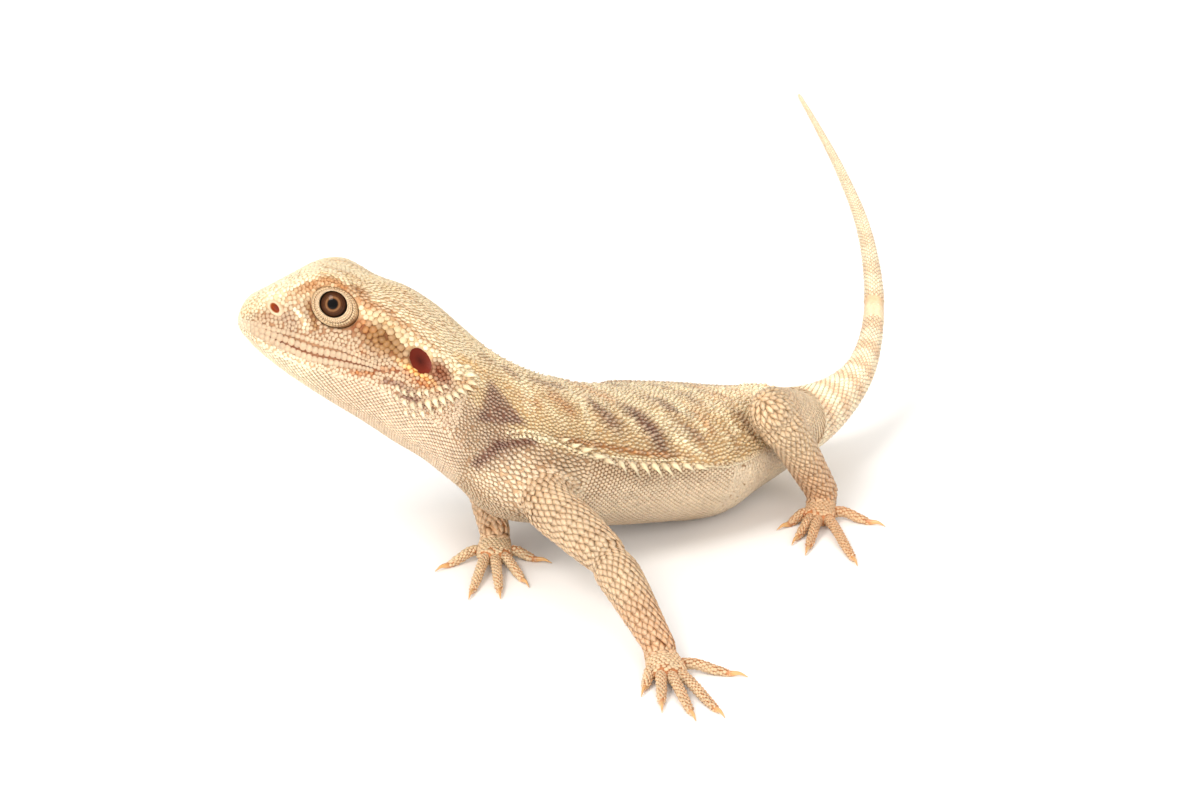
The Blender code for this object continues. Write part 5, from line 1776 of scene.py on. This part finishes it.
def eye_material(name):
    """The eye's colours with fine flecks, under a clear coat."""
    made, tree, shader = new_material(name)
    fleck = tinted(tree, noise(tree, {"Scale": 4000.0}), "OVERLAY", 0.35)
    set_inputs(tree, shader, {"Base Color": fleck, "Roughness": 0.5, "Specular IOR Level": 0.05,
                              "Coat Weight": 0.28, "Coat Roughness": 0.02, "Coat IOR": 1.45})
    return made


def add_lids(side, word):
    """The lids as one closed ring: up over the opening's thick edge, out to the fold, back underneath."""
    lids = Lids(side)
    turn = full_turn(180)
    share = np.concatenate([np.linspace(0, 1.03, 64), np.linspace(1.0, 0.0, 10)])[:, None]
    under = np.concatenate([np.zeros(64), np.full(10, 0.6)])[:, None]
    rings = lids.at(share, turn) - (under + 0 * turn)[..., None] * lids.out
    quads = grid_faces(*rings.shape[:2], wrap=True)
    faces = np.concatenate([quads[:, (0, 1, 2)], quads[:, (0, 2, 3)]])
    points = rings.reshape(-1, 3)
    mesh = mesh_from_arrays(f"lids_{word}", points, outward(points, faces))
    paint(mesh, lids.tones(share, turn).reshape(-1, 3))
    add_piece(f"lids_{word}", mesh, skin_material())
    sets = []
    # rings of beads: how far out between the edge and the fold, the bead's width, its height
    rings = ((0.11, 0.19, 0.08), (0.24, 0.23, 0.09), (0.38, 0.27, 0.09), (0.56, 0.31, 0.10),
             (0.70, 0.34, 0.10))
    for number, (at, bead, high) in enumerate(rings):
        ring = lids.at(at, np.linspace(0, 2 * math.pi, 200))
        many = int(np.linalg.norm(np.diff(ring, axis=0), axis=1).sum() / bead)
        turn = (np.arange(many) + 0.5 * (number % 2)) * 2 * math.pi / many
        root = lids.at(at, turn)
        outer = unit(lids.at(at + 0.02, turn) - root)
        ring_way = unit(lids.at(at, turn + 0.02) - root)
        face = turned_out(unit(np.cross(ring_way, outer)), lids.out)
        tone = lids.tones(at, turn) * 1.06
        sets.append(dict(root=root - 0.01 * face, side=ring_way * 0.5 * bead, lie=outer * bead * 0.95,
                         out=face * high, kept=np.ones(many, bool), kind="plate", tone=tone,
                         gap=tone * (0.62, 0.50, 0.42), random=np.random.default_rng(110 + number),
                         mottle=0.05, atlas=atlas_place(np.full(many, at), turn, (0.02, 0.02, 0.98, 0.98),
                                                        (0, 1), (0, 7))))
    add_coat(f"lid_beads_{word}", sets)


class DRAGON_OT_eyes(bpy.types.Operator):
    """Make the two eyeballs with their irises under a clear coat"""

    bl_idname = "dragon.eyes"
    bl_label = "Eyes"

    def execute(self, context):
        for side, word in SIDES:
            lean = np.concatenate([np.linspace(0, 0.75, 70), np.linspace(0.8, math.pi, 26)])[:, None]
            turn = full_turn(72)
            middle, out, ahead, up = eye_frame(side)
            swell = EYE["radius"] - 0.03 + 0.05 * bell(lean, 0.0, 0.45)
            rings = along_axes(middle, (swell * np.cos(lean) + 0 * turn, out),
                               (swell * np.sin(lean) * np.cos(turn), ahead),
                               (swell * np.sin(lean) * np.sin(turn), up))
            mesh = painted_tube(f"eyeball_{word}", rings, eye_tones(lean + 0 * turn, turn + 0 * lean))
            add_piece(f"eyeball_{word}", mesh, material_of("dragon_eye", eye_material),
                      (f"eye_{word}",))
            add_lids(side, word)
        return {"FINISHED"}


class Lids:
    """The surface of one eye's lids, from the opening's edge (share 0) out to the fold in the skin (share 1).

    Round the eye's axis the outline is a blend of the round opening and the oval fold. The height climbs over
    a thick rim, dips in a groove, swells again over the lower lid and sinks to the skin's height at the fold.
    """

    def __init__(self, side):
        self.middle, self.out, self.along, self.across, self.offset = fold_frame(side)
        self.opening = sizes()["eye_opening"]
        self.turns = np.linspace(0, 2 * math.pi, 73)
        probes = self.flat(np.full(73, 1.07), self.turns) + 2.0 * self.out
        self.heights = (on_skin(probes) - self.middle) @ self.out

    def flat(self, share, turn):
        """Places at the height of the eye's middle, a share of the way from the opening to the fold."""
        low = 0.93 * self.opening
        x = np.cos(turn) * (self.opening + share * (FOLD["long"] - self.opening))
        y = np.sin(turn) * (low + share * (FOLD["short"] - low))
        return along_axes(self.middle, (share, self.offset), (x, self.along), (y, self.across))

    def at(self, share, turn):
        """Places on the lids, at a share of the way out and an angle round the eye's axis."""
        share, turn = np.broadcast_arrays(np.asarray(share, float), np.asarray(turn, float))
        skin = np.interp(np.mod(turn, 2 * math.pi), self.turns, self.heights) - 0.10
        low = ease(-np.sin(turn), -0.2, 0.6)
        height = 2.02 + 0.50 * ease(share, 0.0, 0.12)
        height = height + (skin - height) * ease(share, 0.46, 1.0)
        # grooves, and the two lids' swell, whose depth is below 0: depth in mm, place, spread
        for depth, middle, spread in ((0.18, 0.46, 0.05), (0.05, 0.62, 0.03), (0.06, 0.75, 0.03),
                                      (0.16, 0.96, 0.05), (-0.22 * low, 0.74, 0.15),
                                      (-0.10 * (1 - low), 0.66, 0.12)):
            height = height - depth * bell(share, middle, spread)
        height = height + 0.025 * np.cos(29 * turn + 9 * share) * bell(share, 0.6, 0.25)
        return self.flat(share, turn) + height[..., None] * self.out

    def tones(self, share, turn):
        """Pale beaded rim; a brown groove and a brown fold round the lids, both partly their own brown and
        partly painted shade in these creases, the fold darkest to the rear and below; tan lids that darken
        towards the lower rear, as painted shade.
        """
        c = colours()
        share, turn = np.broadcast_arrays(np.asarray(share, float), np.asarray(turn, float))
        rear = ease(-np.cos(turn), 0.0, 0.8)
        low = ease(-np.sin(turn), -0.3, 0.3)
        rim, lid = c["muzzle"] * (0.70, 0.56, 0.49), c["muzzle"] * (0.66, 0.53, 0.44)
        tone = mix(rim, lid, ease(share, 0.42, 0.55))
        # painted shade: the lids darker towards the lower rear
        tone = mix(tone, c["temple"] * 0.5, 0.90 * rear * low * ease(share, 0.5, 0.8))
        # the groove's brown, partly painted shade in the groove
        tone = mix(tone, c["temple"] * 0.35, 0.85 * bell(share, 0.46, 0.055))
        # the fold's brown, partly painted shade in the crease, darkest to the rear and below
        tone = mix(tone, c["temple"] * 0.15, (0.6 + 0.38 * np.maximum(rear, low)) * ease(share, 0.80, 0.88))
        return mix(tone, c["temple"] * 0.18, 1 - ease(share, 0.0, 0.07))


def there_and_back(rows, back_rows, edge):
    """Shares from the middle out to 1 and back in again from the edge, and which of them lie underneath."""
    share = np.concatenate([np.linspace(0, 1, rows), np.linspace(edge, 0, back_rows)])[:, None]
    return share, (np.arange(rows + back_rows) >= rows)[:, None]


def drum_material(name):
    """A thin skin with a fine relief and a little gloss."""
    made, tree, shader = new_material(name)
    vein = noise(tree, {"Scale": 3000.0})
    relief = add_node(tree, "Bump", "Normal", {"Strength": 0.3, "Distance": 0.00004, "Height": vein})
    set_inputs(tree, shader, {"Base Color": marks_of(tree), "Normal": relief, "Roughness": 0.42,
                              "Specular IOR Level": 0.12, "Coat Weight": 0.06, "Coat Roughness": 0.2})
    return made


def add_nostril(side, word):
    """A raised oval rim round a slit: a closed shape whose section rises and falls, with a pit inside."""
    c = colours()
    middle, out, slit, across = nostril_frame(side)
    share, under = there_and_back(22, 6, 0.9)
    turn = full_turn(48)
    x, y = 1.35 * share * np.cos(turn), 0.80 * share * np.sin(turn)
    height = -0.55 + 0.42 * ease(share, 0.30, 0.58) + 0.16 * bell(share, 0.66, 0.22)
    height = np.where(under, -0.9, height - 0.10 * ease(share, 0.8, 1.0)) + 0 * turn
    rings = along_axes(middle, (x, slit), (y, across), (height, out))
    # the pit dark red-brown: painted shade inside the nostril
    pit = ease(share, 0.2, 0.45) + 0 * turn
    tones = mix(c["rust"] * (0.45, 0.15, 0.12), c["rust"] * (0.9, 0.5, 0.4), pit)
    tones = mix(tones, mix(c["cheek"], c["crown"], 0.35), ease(share, 0.46, 0.58) + 0 * turn)
    add_piece(f"nostril_{word}", painted_tube(f"nostril_{word}", rings, tones), skin_material())


class DRAGON_OT_ears_and_nose(bpy.types.Operator):
    """Make the glossy eardrums and the rimmed nostrils"""

    bl_idname = "dragon.ears_and_nose"
    bl_label = "Ears and nostrils"

    def execute(self, context):
        c = colours()
        for side, word in SIDES:
            middle, out, long_axis, short_axis = ear_frame(side)
            share, under = there_and_back(16, 8, 0.97)
            turn = full_turn(48)
            x = 1.06 * EAR["long"] * share * np.cos(turn)
            y = 1.06 * EAR["short"] * share * np.sin(turn)
            height = np.where(under, -1.45, -0.95 + 0.30 * share ** 2) + 0 * turn
            rings = along_axes(middle, (x, long_axis), (y, short_axis), (height, out))
            # painted light: the drum lighter towards one side, as if lit from there
            painted_light_side = 0.5 + 0.5 * np.cos(turn - 2.4)
            tones = mix(c["eardrum"] * 0.35, c["eardrum"], share + 0 * turn)
            tones = mix(tones, c["eardrum"] * 1.9, 0.55 * painted_light_side * share)
            add_piece(f"drum_{word}", painted_tube(f"drum_{word}", rings, tones),
                      material_of("dragon_eardrum", drum_material), (f"eardrum_{word}",))
            add_nostril(side, word)
        return {"FINISHED"}


# ---- claws ----
def claw_material(name):
    """Clear amber horn with soft depth under a thin gloss."""
    made, tree, shader = new_material(name)
    set_inputs(tree, shader, {"Base Color": marks_of(tree), "Roughness": 0.3, "Subsurface Weight": 0.3,
                              "Subsurface Radius": (1.0, 0.5, 0.25), "Subsurface Scale": 0.0006,
                              "Coat Weight": 0.3, "Coat Roughness": 0.2})
    return made


class DRAGON_OT_claws(bpy.types.Operator):
    """Make the curved claws of the four feet"""

    bl_idname = "dragon.claws"
    bl_label = "Claws"

    def execute(self, context):
        c = colours()
        for name in LEGS:
            which, side = name.split("_")
            part = f"{PART_NAMES[which][2]}_{side}"
            shapes, tones = [], []
            for toe, direction in LEG_TUBES[name][3]:
                start = toe.path[-1] + CLAW_GAP * direction
                rise = np.array((0.0, 0.0, 1.0))
                path = np.array([start - 0.7 * direction, start,
                                 start + 0.5 * CLAW_LENGTH * direction + 0.14 * rise,
                                 start + CLAW_LENGTH * direction - 0.22 * rise])
                path[:, 2] = np.maximum(path[:, 2], 0.14)
                half = CLAW_HALF * np.array((0.9, 0.85, 0.50, 0.10))
                grid = Tube(path, 0.85 * half, half).grid(22, 12)
                grid[..., 2] = np.maximum(grid[..., 2], FLOOR_CLEAR)
                shapes.append(closed_tube(grid))
                out = ((shapes[-1][0] - start) @ direction) / CLAW_LENGTH
                tone = mix(c["foot"], c["claw"], ease(out, -0.05, 0.25))
                tones.append(mix(tone, c["claw"] * 0.75, 0.6 * ease(out, 0.6, 1.0)))
            mesh = mesh_from_arrays(f"claws_{part}", *joined(shapes))
            paint(mesh, np.concatenate(tones))
            add_piece(f"claws_{part}", mesh, material_of("dragon_claw", claw_material),
                      [f"{part}_claw_{k}" for k in range(1, 6)])
        return {"FINISHED"}


# ---- panel and run ----
OPERATORS = (DRAGON_OT_stage, DRAGON_OT_skin, DRAGON_OT_eyes, DRAGON_OT_ears_and_nose, DRAGON_OT_claws,
             DRAGON_OT_head_scales, DRAGON_OT_lip_scales, DRAGON_OT_neck_scales, DRAGON_OT_trunk_scales,
             DRAGON_OT_tail_scales, DRAGON_OT_leg_scales, DRAGON_OT_spines)


class DRAGON_PT_looks(bpy.types.Panel):
    """Lists the pieces of the dragon's looks"""

    bl_label = "Bearded dragon"
    bl_space_type = "VIEW_3D"
    bl_region_type = "UI"
    bl_category = "Dragon"

    def draw(self, context):
        for operator in OPERATORS:
            self.layout.operator(operator.bl_idname)
        for group in (context.scene.dragon_sizes, context.scene.dragon_colours):
            column = self.layout.column()
            for name in type(group).__annotations__:
                column.prop(group, name)


CLASSES = (DragonSizes, DragonColours, *OPERATORS, DRAGON_PT_looks)


def register():
    for one in CLASSES:
        bpy.utils.register_class(one)
    bpy.types.Scene.dragon_sizes = PointerProperty(type=DragonSizes)
    bpy.types.Scene.dragon_colours = PointerProperty(type=DragonColours)


def unregister():
    del bpy.types.Scene.dragon_colours
    del bpy.types.Scene.dragon_sizes
    for one in reversed(CLASSES):
        bpy.utils.unregister_class(one)


def call(operator):
    """Runs an operator by its id, such as dragon.skin, and stops the script if it doesn't finish."""
    group, name = operator.bl_idname.split(".")
    if getattr(getattr(bpy.ops, group), name)() != {"FINISHED"}:
        raise RuntimeError(f"{operator.bl_label} didn't finish")


def main():
    register()
    for operator in OPERATORS:
        call(operator)


if __name__ == "__main__":
    main()
